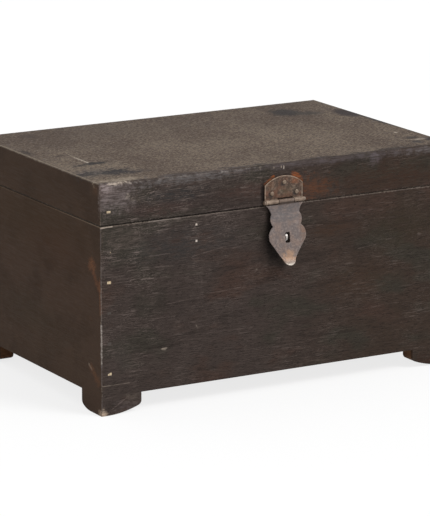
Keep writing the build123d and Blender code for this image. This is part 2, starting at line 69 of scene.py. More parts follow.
@dataclass(frozen=True)
class Colour:
    """A colour as it looks on a screen, each channel from 0 to 255."""

    red: float
    green: float
    blue: float

    FULL = 255.0
    # The curve between screen values and linear light: straight up to KNEE, and a power above it
    KNEE = 0.04045
    SLOPE = 12.92
    LIFT = 0.055
    SCALE = 1.055
    POWER = 2.4

    def linear(self) -> tuple[float, float, float, float]:
        """The same colour as a shader takes it."""
        channels = (self._channel(value / self.FULL) for value in (self.red, self.green, self.blue))
        return (*channels, 1.0)

    @classmethod
    def _channel(cls, value: float) -> float:
        """One channel, from screen to linear light."""
        straight = value <= cls.KNEE
        return value / cls.SLOPE if straight else ((value + cls.LIFT) / cls.SCALE) ** cls.POWER


@dataclass(frozen=True)
class Cloud:
    """How soft noise looks.

    Attributes:
        scale: how many cells there are in one unit of position.
        detail: how many finer layers it has.
        rough: how strong the finer layers are.
    """

    scale: float
    detail: float = 2.0
    rough: float = 0.5

    MIDDLE = 0.5


@dataclass(frozen=True)
class Step:
    """A smooth step between two values.

    Attributes:
        start: where the result is still low.
        end: where the result is already high.
        low: the result up to start.
        high: the result from end on.
    """

    start: Source
    end: Source
    low: Source = 0.0
    high: Source = 1.0


class Wiring:
    """Adds nodes to one node tree and joins them up."""

    NUMBER_RESULTS = ("LENGTH", "DOT_PRODUCT")
    # Where a Mix node keeps its factor, its two colours and its result
    MIX_FACTOR, MIX_FIRST, MIX_SECOND, MIX_RESULT = 0, 6, 7, 2

    def __init__(self, tree: bpy.types.NodeTree) -> None:
        """Takes the node tree that every node goes into."""
        self.tree = tree

    def node(self, kind: str, **settings: Any) -> bpy.types.Node:
        """Adds one node.

        Args:
            kind: Blender's name for the node's type.
            settings: properties to set on it.

        Returns:
            The new node.
        """
        made = self.tree.nodes.new(kind)
        for name, value in settings.items():
            setattr(made, name, value)
        return made

    def feed(self, socket: Socket, source: Source) -> None:
        """Links a source to a socket, or sets the socket to a plain value.

        Args:
            socket: the socket that is fed.
            source: another node's output, or a value.
        """
        if isinstance(source, bpy.types.NodeSocket):
            self.tree.links.new(source, socket)
        else:
            socket.default_value = source

    def math(
        self, operation: str, first: Source, second: Source = 0.0, clamp: bool = False
    ) -> Socket:
        """A sum on one or two values.

        Args:
            operation: Blender's name for it, such as ADD.
            first: the first value.
            second: the second value.
            clamp: whether the result stays from 0 to 1.

        Returns:
            The socket that gives the result.
        """
        made = self.node("ShaderNodeMath", operation=operation, use_clamp=clamp)
        self.feed(made.inputs[0], first)
        self.feed(made.inputs[1], second)
        return made.outputs[0]

    def vector(self, operation: str, first: Source, second: Source = (0.0, 0.0, 0.0)) -> Socket:
        """A sum on one or two vectors.

        Args:
            operation: Blender's name for it, such as DIVIDE or LENGTH.
            first: the first vector.
            second: the second vector.

        Returns:
            The socket that gives the result.
        """
        made = self.node("ShaderNodeVectorMath", operation=operation)
        self.feed(made.inputs[0], first)
        self.feed(made.inputs[1], second)
        return made.outputs["Value" if operation in self.NUMBER_RESULTS else "Vector"]

    def scaled(self, vector: Source, factor: Source) -> Socket:
        """A vector times a number.

        Args:
            vector: the vector.
            factor: the number.

        Returns:
            The socket that gives the longer or shorter vector.
        """
        made = self.node("ShaderNodeVectorMath", operation="SCALE")
        self.feed(made.inputs[0], vector)
        self.feed(made.inputs["Scale"], factor)
        return made.outputs["Vector"]

    def split(self, vector: Source) -> tuple[Socket, Socket, Socket]:
        """The three parts of a vector.

        Args:
            vector: the vector.

        Returns:
            The sockets that give its x, y and z.
        """
        made = self.node("ShaderNodeSeparateXYZ")
        self.feed(made.inputs[0], vector)
        return tuple(made.outputs)

    def join(self, x: Source, y: Source, z: Source) -> Socket:
        """A vector from its three parts.

        Args:
            x: the first part.
            y: the second part.
            z: the third part.

        Returns:
            The socket that gives the vector.
        """
        made = self.node("ShaderNodeCombineXYZ")
        for socket, source in zip(made.inputs, (x, y, z)):
            self.feed(socket, source)
        return made.outputs[0]

    def ramp(self, value: Source, step: Step) -> Socket:
        """A value taken through a smooth step.

        Args:
            value: what is mapped.
            step: where the step is and how high.

        Returns:
            The socket that gives the result.
        """
        made = self.node("ShaderNodeMapRange", interpolation_type="SMOOTHSTEP")
        for socket, source in zip(made.inputs, (value, step.start, step.end, step.low, step.high)):
            self.feed(socket, source)
        return made.outputs[0]

    def blend(
        self, factor: Source, first: Union[Source, Colour], second: Union[Source, Colour]
    ) -> Socket:
        """Two colours mixed.

        Args:
            factor: how much of the second.
            first: the first colour.
            second: the second colour.

        Returns:
            The socket that gives the mixed colour.
        """
        made = self.node("ShaderNodeMix", data_type="RGBA")
        self.feed(made.inputs[self.MIX_FACTOR], factor)
        self.feed(made.inputs[self.MIX_FIRST], self._plain(first))
        self.feed(made.inputs[self.MIX_SECOND], self._plain(second))
        return made.outputs[self.MIX_RESULT]

    def laid(
        self, under: Union[Source, Colour], over: Union[Source, Colour], value: Source, step: Step
    ) -> Socket:
        """The colour under, with the colour over laid on it where a value passes a step."""
        return self.blend(self.ramp(value, step), under, over)

    @staticmethod
    def _plain(source: Union[Source, Colour]) -> Source:
        """A colour as a shader takes it, and anything else as it is."""
        return source.linear() if isinstance(source, Colour) else source

    def cloud(self, position: Source, look: Cloud) -> Socket:
        """Soft noise from 0 to 1.

        Args:
            position: where it is read.
            look: how it looks.

        Returns:
            The socket that gives the noise.
        """
        made = self.node("ShaderNodeTexNoise")
        self.feed(made.inputs["Vector"], position)
        made.inputs["Scale"].default_value = look.scale
        made.inputs["Detail"].default_value = look.detail
        made.inputs["Roughness"].default_value = look.rough
        return made.outputs["Fac"]

    def use(self, effect: "Effect", **inputs: Source) -> bpy.types.Node:
        """Places an effect's node group.

        Args:
            effect: the effect.
            inputs: a source for each named input.

        Returns:
            The group's node.
        """
        made = self.node("ShaderNodeGroup", node_tree=effect.tree())
        for name, source in inputs.items():
            self.feed(made.inputs[name], source)
        return made


# Effects that several finishes share


class SocketKind(Enum):
    """What a group's socket carries."""

    VALUE = "NodeSocketFloat"
    VECTOR = "NodeSocketVector"


class Effect:
    """A shader node group that several finishes share, built when it is first used."""

    name: str
    inputs: dict[str, SocketKind]
    outputs: tuple[str, ...]

    def __init__(self) -> None:
        """Starts with no node group yet."""
        self._tree: Optional[bpy.types.NodeTree] = None

    def tree(self) -> bpy.types.NodeTree:
        """The node group.

        Returns:
            The one group that every use of the effect shares.
        """
        if self._tree is None:
            self._tree = self._build()
        return self._tree

    def _build(self) -> bpy.types.NodeTree:
        """Makes the sockets, then lets the effect itself fill the group.

        Returns:
            The new node group.
        """
        group = bpy.data.node_groups.new(self.name, "ShaderNodeTree")
        value = SocketKind.VALUE
        for name, kind in self.inputs.items():
            group.interface.new_socket(name=name, in_out="INPUT", socket_type=kind.value)
        for name in self.outputs:
            group.interface.new_socket(name=name, in_out="OUTPUT", socket_type=value.value)
        wires = Wiring(group)
        results = self.fill(wires, wires.node("NodeGroupInput").outputs)
        last = wires.node("NodeGroupOutput").inputs
        for name, source in zip(self.outputs, results):
            wires.feed(last[name], source)
        return group

    def fill(self, wires: Wiring, given: Any) -> tuple[Socket, ...]:
        """Wires the effect, and gives a source for each of the group's outputs."""
        raise NotImplementedError


class Grain(Effect):
    """Wood grain along X: long streaks, short pores and a slow figure. High up it leans."""

    name = "Grain"
    inputs = {
        "Position": SocketKind.VECTOR,
        "Length": SocketKind.VALUE,
        "Width": SocketKind.VALUE,
        "Lean": SocketKind.VALUE,
        "Seed": SocketKind.VALUE,
    }
    outputs = ("Streaks", "Pores", "Figure")

    WANDER = Cloud(5.0, 1.0)
    WANDER_REACH = 7 * MM
    LEANING = Step(90 * MM, 180 * MM)
    STREAKS = Cloud(1.0, 4.0, 0.68)
    PORE_FINENESS = (4.0, 1.6, 1.6)
    PORES = Cloud(1.0, 1.0)
    PORE_SHARE = Step(0.55, 0.72)
    FIGURE_FINENESS = (0.20, 0.07, 0.07)
    FIGURE = Cloud(1.0, 4.0, 0.6)

    def fill(self, wires: Wiring, given: Any) -> tuple[Socket, ...]:
        """Wires the grain.

        Args:
            wires: adds nodes to the group.
            given: the group's inputs by name.

        Returns:
            The streaks, the pores and the figure.
        """
        x, y, z = wires.split(given["Position"])
        wander = wires.math("SUBTRACT", wires.cloud(given["Position"], self.WANDER), Cloud.MIDDLE)
        lean = wires.math("MULTIPLY", wires.ramp(z, self.LEANING), given["Lean"])
        wave = wires.math("MULTIPLY", wander, self.WANDER_REACH)
        lift = wires.math("SUBTRACT", wave, wires.math("MULTIPLY", x, lean))
        place = wires.join(
            wires.math("ADD", wires.math("DIVIDE", x, given["Length"]), given["Seed"]),
            wires.math("DIVIDE", y, given["Width"]),
            wires.math("DIVIDE", wires.math("ADD", z, lift), given["Width"]),
        )
        streaks = wires.cloud(place, self.STREAKS)
        short = wires.cloud(wires.vector("MULTIPLY", place, self.PORE_FINENESS), self.PORES)
        pores = wires.ramp(short, self.PORE_SHARE)
        figure = wires.cloud(wires.vector("MULTIPLY", place, self.FIGURE_FINENESS), self.FIGURE)
        return streaks, pores, figure


class BoxEdges(Effect):
    """How far a point on a box is from the nearest edge, and how deep it lies inside the box."""

    name = "Box edges"
    inputs = {name: SocketKind.VECTOR for name in ("Position", "Centre", "Half")}
    outputs = ("Distance", "Depth")

    def fill(self, wires: Wiring, given: Any) -> tuple[Socket, ...]:
        """Wires the two distances.

        Args:
            wires: adds nodes to the group.
            given: the group's inputs by name.

        Returns:
            The distance from the nearest edge and the depth.
        """
        away = wires.vector(
            "ABSOLUTE", wires.vector("SUBTRACT", given["Position"], given["Centre"])
        )
        x, y, z = wires.split(wires.vector("SUBTRACT", given["Half"], away))
        nearer = wires.math("MINIMUM", x, y)
        farther = wires.math("MAXIMUM", x, y)
        second = wires.math("MAXIMUM", nearer, wires.math("MINIMUM", farther, z))
        return second, wires.math("MINIMUM", nearer, z)


class Ragged(Effect):
    """Fine noise round 0 that makes a mark's rim uneven, and streaks that show the wood in it."""

    name = "Ragged"
    inputs = {"Position": SocketKind.VECTOR}
    outputs = ("Shift", "Broken")

    RIM = Cloud(210.0, 4.0, 0.68)
    DRAWN = (0.14, 1.0, 1.0)
    STREAKS = Cloud(620.0, 3.0, 0.7)
    SHOWN = Step(0.36, 0.62, 0.2, 1.0)

    def fill(self, wires: Wiring, given: Any) -> tuple[Socket, ...]:
        """Wires the noise and the streaks.

        Args:
            wires: adds nodes to the group.
            given: the group's inputs by name.

        Returns:
            How far a rim is moved, and how much of a mark shows between the streaks.
        """
        shift = wires.math("SUBTRACT", wires.cloud(given["Position"], self.RIM), Cloud.MIDDLE)
        drawn = wires.vector("MULTIPLY", given["Position"], self.DRAWN)
        return shift, wires.ramp(wires.cloud(drawn, self.STREAKS), self.SHOWN)


class Patch(Effect):
    """A soft patch round a point."""

    name = "Patch"
    inputs = {
        "Position": SocketKind.VECTOR,
        "Centre": SocketKind.VECTOR,
        "Reach": SocketKind.VECTOR,
        "Shift": SocketKind.VALUE,
        "Full": SocketKind.VALUE,
    }
    outputs = ("Mask",)

    RIM = 1.15

    def fill(self, wires: Wiring, given: Any) -> tuple[Socket, ...]:
        """Wires the patch.

        Args:
            wires: adds nodes to the group.
            given: the group's inputs by name.

        Returns:
            Where the patch shows.
        """
        away = wires.vector("SUBTRACT", given["Position"], given["Centre"])
        share = wires.vector("LENGTH", wires.vector("DIVIDE", away, given["Reach"]))
        ragged = wires.math("ADD", share, given["Shift"])
        return (wires.ramp(ragged, Step(self.RIM, given["Full"])),)


class Scratch(Effect):
    """A thin line from one point to another."""

    name = "Scratch"
    inputs = {
        "Position": SocketKind.VECTOR,
        "Start": SocketKind.VECTOR,
        "End": SocketKind.VECTOR,
        "Width": SocketKind.VALUE,
        "Shift": SocketKind.VALUE,
    }
    outputs = ("Mask",)

    ACROSS = Step(1.1, 0.1)

    def fill(self, wires: Wiring, given: Any) -> tuple[Socket, ...]:
        """Wires the line.

        Args:
            wires: adds nodes to the group.
            given: the group's inputs by name.

        Returns:
            Where the line shows.
        """
        line = wires.vector("SUBTRACT", given["End"], given["Start"])
        away = wires.vector("SUBTRACT", given["Position"], given["Start"])
        run = wires.vector("DOT_PRODUCT", away, line)
        along = wires.math("DIVIDE", run, wires.vector("DOT_PRODUCT", line, line), clamp=True)
        nearest = wires.scaled(line, along)
        gap = wires.vector("LENGTH", wires.vector("SUBTRACT", away, nearest))
        share = wires.math("ADD", wires.math("DIVIDE", gap, given["Width"]), given["Shift"])
        return (wires.ramp(share, self.ACROSS),)


class Corrosion(Effect):
    """Old iron: broad rust, fine mottling and small pits."""

    name = "Corrosion"
    inputs = {"Position": SocketKind.VECTOR, "Scale": SocketKind.VALUE}
    outputs = ("Rust", "Mottle", "Pits")

    RUST = Cloud(1.0, 4.0, 0.62)
    MOTTLE = Cloud(4.0, 3.0, 0.65)
    PITS = Cloud(9.0, 2.0, 0.5)
    PIT_SHARE = Step(0.60, 0.74)

    def fill(self, wires: Wiring, given: Any) -> tuple[Socket, ...]:
        """Wires the rust, the mottling and the pits.

        Args:
            wires: adds nodes to the group.
            given: the group's inputs by name.

        Returns:
            The rust, the mottling and the pits.
        """
        place = wires.scaled(given["Position"], given["Scale"])
        rust = wires.cloud(place, self.RUST)
        mottle = wires.cloud(place, self.MOTTLE)
        pits = wires.ramp(wires.cloud(place, self.PITS), self.PIT_SHARE)
        return rust, mottle, pits


GRAIN = Grain()
BOX_EDGES = BoxEdges()
RAGGED = Ragged()
PATCH = Patch()
SCRATCH = Scratch()
CORROSION = Corrosion()


# Marks that a long life left in one place


class Mark:
    """What every mark has, whatever its shape.

    Attributes:
        colour: its colour.
        strength: how much of it shows, from 0 to 1.
        ragged: how uneven its rim is.
        streaky: whether the grain shows through it in streaks.
    """

    colour: Colour
    strength: float
    ragged: float
    streaky: bool

    def shape(self, wires: Wiring, position: Socket, uneven: Socket) -> bpy.types.Node:
        """Places the node group that has the mark's shape, and gives its node."""
        raise NotImplementedError

    def mask(self, wires: Wiring, position: Socket, ragged: bpy.types.Node) -> Socket:
        """Where the mark shows.

        Args:
            wires: adds nodes to the material.
            position: the point that is coloured.
            ragged: the node that makes rims uneven and gives streaks.

        Returns:
            The socket that gives how much of it shows.
        """
        uneven = wires.math("MULTIPLY", ragged.outputs["Shift"], self.ragged)
        shape = self.shape(wires, position, uneven)
        shown = wires.math("MULTIPLY", shape.outputs["Mask"], self.strength)
        if self.streaky:
            shown = wires.math("MULTIPLY", shown, ragged.outputs["Broken"])
        return shown


@dataclass(frozen=True)
class Stain(Mark):
    """A patch of another colour.

    Attributes:
        centre: its middle.
        reach: how far it goes each way.
        full: how far out, from 0 to 1, it is still at full strength.
    """

    centre: Point
    reach: Point
    colour: Colour
    strength: float
    ragged: float
    full: float = 0.1
    streaky: bool = True

    def shape(self, wires: Wiring, position: Socket, uneven: Socket) -> bpy.types.Node:
        """Places the patch.

        Args:
            wires: adds nodes to the material.
            position: the point that is coloured.
            uneven: how far the rim is moved there.

        Returns:
            The group's node, with a mask.
        """
        return wires.use(
            PATCH,
            Position=position,
            Centre=self.centre,
            Reach=self.reach,
            Shift=uneven,
            Full=self.full,
        )


@dataclass(frozen=True)
class Line(Mark):
    """A thin line of another colour.

    Attributes:
        start: one end.
        end: the other end.
        width: half its breadth.
    """

    start: Point
    end: Point
    width: float
    colour: Colour
    strength: float
    ragged: float
    streaky: bool = True

    def shape(self, wires: Wiring, position: Socket, uneven: Socket) -> bpy.types.Node:
        """Places the line.

        Args:
            wires: adds nodes to the material.
            position: the point that is coloured.
            uneven: how far the rim is moved there.

        Returns:
            The group's node, with a mask.
        """
        return wires.use(
            SCRATCH,
            Position=position,
            Start=self.start,
            End=self.end,
            Width=self.width,
            Shift=uneven,
        )


def marked(wires: Wiring, position: Socket, colour: Socket, marks: Sequence[Mark]) -> Socket:
    """A colour with marks on it.

    Args:
        wires: adds nodes to the material.
        position: the point that is coloured.
        colour: the colour under the marks.
        marks: the marks, the last one on top.

    Returns:
        The socket that gives the colour.
    """
    if not marks:
        return colour
    ragged = wires.use(RAGGED, Position=position)
    for mark in marks:
        colour = wires.blend(mark.mask(wires, position, ragged), colour, mark.colour)
    return colour


def on_front(x: float, z: float) -> Point:
    """A place on the front, from millimetres."""
    return (x * MM, FRONT, z * MM)


def on_left(y: float, z: float) -> Point:
    """A place on the left side, from millimetres."""
    return (LEFT, y * MM, z * MM)


def on_top(x: float, y: float) -> Point:
    """A place on the top, from millimetres."""
    return (x * MM, y * MM, TOP)


def metres(x: float, y: float, z: float) -> Point:
    """A place or a reach in metres, from millimetres."""
    return (x * MM, y * MM, z * MM)


def stains(place: Callable[..., Point], *rows: Sequence[Any]) -> tuple[Stain, ...]:
    """Stains whose places are given in one way.

    Args:
        place: makes a point of a row's place.
        rows: each a stain's middle and reach, in millimetres, its colour, strength and ragged,
            and also full and streaky where they aren't a Stain's usual ones.

    Returns:
        The stains, the last one on top.
    """
    return tuple(
        Stain(place(*middle), metres(*reach), Colour(*tone), *rest)
        for middle, reach, tone, *rest in rows
    )


def lines(place: Callable[..., Point], *rows: Sequence[Any]) -> tuple[Line, ...]:
    """Lines whose places are given in one way.

    Args:
        place: makes a point of each of a row's ends.
        rows: each a line's two ends and width, in millimetres, its colour, strength and ragged,
            and also streaky where it isn't a Line's usual one.

    Returns:
        The lines, the last one on top.
    """
    return tuple(
        Line(place(*start), place(*end), width * MM, Colour(*tone), *rest)
        for start, end, width, tone, *rest in rows
    )


# Finishes


class GrainAxis(Enum):
    """Which way a board's grain runs."""

    ALONG = "x"
    ACROSS = "y"


@dataclass(frozen=True)
class Surroundings:
    """The box whose edges a finish is worn along.

    Attributes:
        centre: its middle.
        half: half its size.
    """

    centre: Point
    half: Point


class Finish:
    """A finish that can dress pieces with one material."""

    name: str

    def material(self) -> bpy.types.Material:
        """Makes the material.

        Returns:
            A new material with this finish.
        """
        made = bpy.data.materials.new(self.name)
        made.use_nodes = True
        self.wire(Wiring(made.node_tree), made.node_tree.nodes["Principled BSDF"])
        return made

    def wire(self, wires: Wiring, shader: bpy.types.Node) -> None:
        """Feeds the shader, which is the material's Principled BSDF."""
        raise NotImplementedError

    def dress(self, *pieces: bpy.types.Object) -> None:
        """Gives pieces this finish in place of what they have.

        Args:
            pieces: the pieces, which share one material.
        """
        made = self.material()
        for piece in pieces:
            piece.data.materials.clear()
            piece.data.materials.append(made)


def add_bump(
    wires: Wiring, shader: bpy.types.Node, height: Source, depth: float, strength: float
) -> None:
    """Bends a shader's normal by a height.

    Args:
        wires: adds nodes to the material.
        shader: its Principled BSDF.
        height: from 0, low, to 1, high.
        depth: what a height of 1 stands for, in metres.
        strength: how much of it shows, from 0 to 1.
    """
    bump = wires.node("ShaderNodeBump")
    bump.inputs["Distance"].default_value = depth
    bump.inputs["Strength"].default_value = strength
    wires.feed(bump.inputs["Height"], height)
    wires.feed(shader.inputs["Normal"], bump.outputs[0])


@dataclass(frozen=True)
class StainedWood(Finish):
    """Old boards with a dark stain outside, bare brown wood inside, and worn edges.

    Attributes:
        name: the material's name.
        grain: which way the grain runs.
        seed: which grain the board has.
        around: the box whose edges are worn.
        marks: the marks on it, the last one on top.
        wear: how pale its edges are, from 0 to 1.
        shine: how much it reflects.
        left, right: the stain at the left and at the right of a long face.
        green, red: the tints that the stain has in places.
        deep: the stain in dark streaks and pores.
        dust_and_sheen: the dusty film on light streaks, with a painted sheen in it.
        end, end_deep, end_light: the faces at the left and right, and their clouds and grit.
        worn: a rubbed edge.
        bare, bare_deep: the wood inside, and its dark streaks.
    """

    name: str
    grain: GrainAxis
    seed: float
    around: Surroundings
    marks: tuple[Mark, ...] = ()
    wear: float = 0.5
    shine: float = 0.07
    left: Colour = Colour(62, 53, 49)
    right: Colour = Colour(57, 46, 39)
    green: Colour = Colour(53, 50, 43)
    red: Colour = Colour(66, 50, 43)
    deep: Colour = Colour(34, 28, 25)
    dust_and_sheen: Colour = Colour(110, 98, 92)
    end: Colour = Colour(63, 47, 36)
    end_deep: Colour = Colour(54, 39, 28)
    end_light: Colour = Colour(76, 58, 45)
    worn: Colour = Colour(142, 130, 118)
    bare: Colour = Colour(118, 86, 60)
    bare_deep: Colour = Colour(84, 58, 40)

    # The grain, and what it does to the surface
    STREAK_LENGTH = 19 * MM
    STREAK_WIDTH = 0.7 * MM
    LEAN = 0.04
    ROUGHNESS = Step(0.3, 0.7, 0.55, 0.75)
    RELIEF = 0.22 * MM
    RELIEF_STRENGTH = 0.6

    # How far a face looks sideways where it is an end, and how flat an end is
    IS_END = Step(0.6, 0.85)
    END_RELIEF = Step(0.0, 1.0, 1.0, 0.25)

    # A long face: its stain, tints and dark grain
    TO_THE_RIGHT = Step(-60 * MM, 140 * MM)
    STRETCH = (0.55, 1.0, 1.2)
    TINT = Cloud(15.0, 3.0, 0.6)
    GREEN_TINT = Step(0.52, 0.64, 0.0, 0.8)
    RED_TINT = Step(0.46, 0.34, 0.0, 0.8)
    DARK_FIGURE = Step(0.46, 0.30, 0.0, 0.5)
    DARK_STREAKS = Step(0.50, 0.30, 0.0, 0.9)
    PORE_STRENGTH = 0.75

    # Its dusty film and painted sheen, which are thicker high up at the left
    DUST_AND_SHEEN = Cloud(27.0, 3.0, 0.6)
    DUST_AND_SHEEN_SHARE = Step(0.42, 0.66, 0.2, 0.8)
    UP_LEFT = Step(190 * MM, 360 * MM, 0.5, 1.8)
    LIGHT_STREAKS = Step(0.51, 0.70)
    HAIR_STRETCH = (0.07, 1.0, 1.0)
    HAIRS = Cloud(700.0, 2.0, 0.6)
    HAIR_SHARE = Step(0.57, 0.72)
    GRIT = Cloud(950.0, 2.0, 0.6)
    GRIT_SHARE = Step(0.54, 0.76)

    # An end face
    END_CLOUDS = Cloud(19.0, 3.0, 0.55)
    END_CLOUD_SHARE = Step(0.38, 0.60)
    END_STRETCH = (1.0, 0.4, 1.0)
    END_GRIT = Cloud(230.0, 3.0, 0.6)
    END_GRIT_SHARE = Step(0.48, 0.78, 0.0, 0.4)

    # The rubbed edges
    RUBBED_PLACES = Cloud(30.0, 4.0, 0.6)
    RUBBED_SHARE = Step(0.36, 0.66, 0.25, 1.0)
    RUBBED_RIM = Cloud(420.0, 3.0, 0.6)
    RUBBED_WIDTH = Step(0.35, 0.75, 0.3 * MM, 1.9 * MM)
    RUBBED_END = Step(0.35 * MM, -0.45 * MM)

    # The wood inside
    STAIN_DEPTH = Step(2.0 * MM, 5.0 * MM)
    BARE_STREAKS = Step(0.34, 0.66)
    BARE_FIGURE = Step(0.58, 0.40, 0.0, 0.6)

    def wire(self, wires: Wiring, shader: bpy.types.Node) -> None:
        """Feeds the shader with the stain outside and the bare wood inside.

        Args:
            wires: adds nodes to the material.
            shader: its Principled BSDF.
        """
        place = wires.node("ShaderNodeTexCoord")
        position = place.outputs["Object"]
        sideways, _, up = wires.split(place.outputs["Normal"])
        box = self.around
        edges = wires.use(BOX_EDGES, Position=position, Centre=box.centre, Half=box.half)
        grain = self._grain(wires, position)
        is_end = wires.ramp(wires.math("ABSOLUTE", sideways), self.IS_END)
        long_face = self._long_face(wires, position, grain)
        colour = wires.blend(is_end, long_face, self._end_face(wires, position))
        colour = self.upper_face(wires, position, up, grain, colour)
        colour = self._rubbed_edges(wires, position, edges, colour)
        colour = marked(wires, position, colour, self.marks)
        inside = wires.ramp(edges.outputs["Depth"], self.STAIN_DEPTH)
        colour = wires.blend(inside, colour, self._bare_wood(wires, grain))
        wires.feed(shader.inputs["Base Color"], colour)
        rough = wires.ramp(grain.outputs["Streaks"], self.ROUGHNESS)
        wires.feed(shader.inputs["Roughness"], rough)
        shader.inputs["Specular IOR Level"].default_value = self.shine
        relief = wires.math("SUBTRACT", grain.outputs["Streaks"], grain.outputs["Pores"])
        flatter = wires.ramp(is_end, self.END_RELIEF)
        height = wires.math("MULTIPLY", relief, flatter)
        add_bump(wires, shader, height, self.RELIEF, self.RELIEF_STRENGTH)

    def upper_face(
        self, wires: Wiring, position: Socket, up: Socket, grain: bpy.types.Node, colour: Socket
    ) -> Socket:
        """The colour of a face that looks up, which on most boards is the same."""
        return colour

    def _grain(self, wires: Wiring, position: Socket) -> bpy.types.Node:
        """The board's own grain.

        Args:
            wires: adds nodes to the material.
            position: the point that is coloured.

        Returns:
            The grain's node.
        """
        run = position
        if self.grain is GrainAxis.ACROSS:
            x, y, z = wires.split(position)
            run = wires.join(y, x, z)
        return wires.use(
            GRAIN,
            Position=run,
            Length=self.STREAK_LENGTH,
            Width=self.STREAK_WIDTH,
            Lean=self.LEAN,
            Seed=self.seed,
        )

    def _long_face(self, wires: Wiring, position: Socket, grain: bpy.types.Node) -> Socket:
        """The colour of a front or back face, with streaks.

        Args:
            wires: adds nodes to the material.
            position: the point that is coloured.
            grain: the board's grain.

        Returns:
            The socket that gives the colour.
        """
        streaks = grain.outputs["Streaks"]
        x, _, z = wires.split(position)
        colour = wires.laid(self.left, self.right, x, self.TO_THE_RIGHT)
        stretched = wires.vector("MULTIPLY", position, self.STRETCH)
        tint = wires.cloud(stretched, self.TINT)
        colour = wires.laid(colour, self.green, tint, self.GREEN_TINT)
        colour = wires.laid(colour, self.red, tint, self.RED_TINT)
        colour = wires.laid(colour, self.deep, grain.outputs["Figure"], self.DARK_FIGURE)
        colour = wires.laid(colour, self.deep, streaks, self.DARK_STREAKS)
        # A dusty film with a painted sheen in it, thicker high up at the left, laid on light
        # streaks, hairs and grit.
        share = wires.ramp(wires.cloud(position, self.DUST_AND_SHEEN), self.DUST_AND_SHEEN_SHARE)
        up_left = wires.ramp(wires.math("SUBTRACT", z, x), self.UP_LEFT)
        dusty = wires.math("MULTIPLY", share, up_left)
        light = wires.math("MULTIPLY", wires.ramp(streaks, self.LIGHT_STREAKS), dusty)
        colour = wires.blend(light, colour, self.dust_and_sheen)
        drawn = wires.vector("MULTIPLY", position, self.HAIR_STRETCH)
        hairs = wires.ramp(wires.cloud(drawn, self.HAIRS), self.HAIR_SHARE)
        colour = wires.blend(wires.math("MULTIPLY", hairs, dusty), colour, self.dust_and_sheen)
        grit = wires.ramp(wires.cloud(stretched, self.GRIT), self.GRIT_SHARE)
        colour = wires.blend(wires.math("MULTIPLY", grit, dusty), colour, self.dust_and_sheen)
        pores = wires.math("MULTIPLY", grain.outputs["Pores"], self.PORE_STRENGTH)
        return wires.blend(pores, colour, self.deep)

    def _end_face(self, wires: Wiring, position: Socket) -> Socket:
        """The colour of a left or right face, rubbed smooth.

        Args:
            wires: adds nodes to the material.
            position: the point that is coloured.

        Returns:
            The socket that gives the colour.
        """
        slow = wires.cloud(position, self.END_CLOUDS)
        colour = wires.laid(self.end_deep, self.end, slow, self.END_CLOUD_SHARE)
        fine = wires.cloud(wires.vector("MULTIPLY", position, self.END_STRETCH), self.END_GRIT)
        return wires.laid(colour, self.end_light, fine, self.END_GRIT_SHARE)

    def _rubbed_edges(
        self, wires: Wiring, position: Socket, edges: bpy.types.Node, colour: Socket
    ) -> Socket:
        """The colour with its edges rubbed pale here and there.

        Args:
            wires: adds nodes to the material.
            position: the point that is coloured.
            edges: the node that measures from the edges.
            colour: the colour so far.

        Returns:
            The colour to use.
        """
        often = wires.ramp(wires.cloud(position, self.RUBBED_PLACES), self.RUBBED_SHARE)
        width = wires.ramp(wires.cloud(position, self.RUBBED_RIM), self.RUBBED_WIDTH)
        past = wires.math("SUBTRACT", edges.outputs["Distance"], width)
        rubbed = wires.ramp(past, self.RUBBED_END)
        share = wires.math("MULTIPLY", wires.math("MULTIPLY", rubbed, often), self.wear)
        return wires.blend(share, colour, self.worn)

    def _bare_wood(self, wires: Wiring, grain: bpy.types.Node) -> Socket:
        """The colour of the inside."""
        colour = wires.laid(self.bare_deep, self.bare, grain.outputs["Streaks"], self.BARE_STREAKS)
        return wires.laid(colour, self.bare_deep, grain.outputs["Figure"], self.BARE_FIGURE)


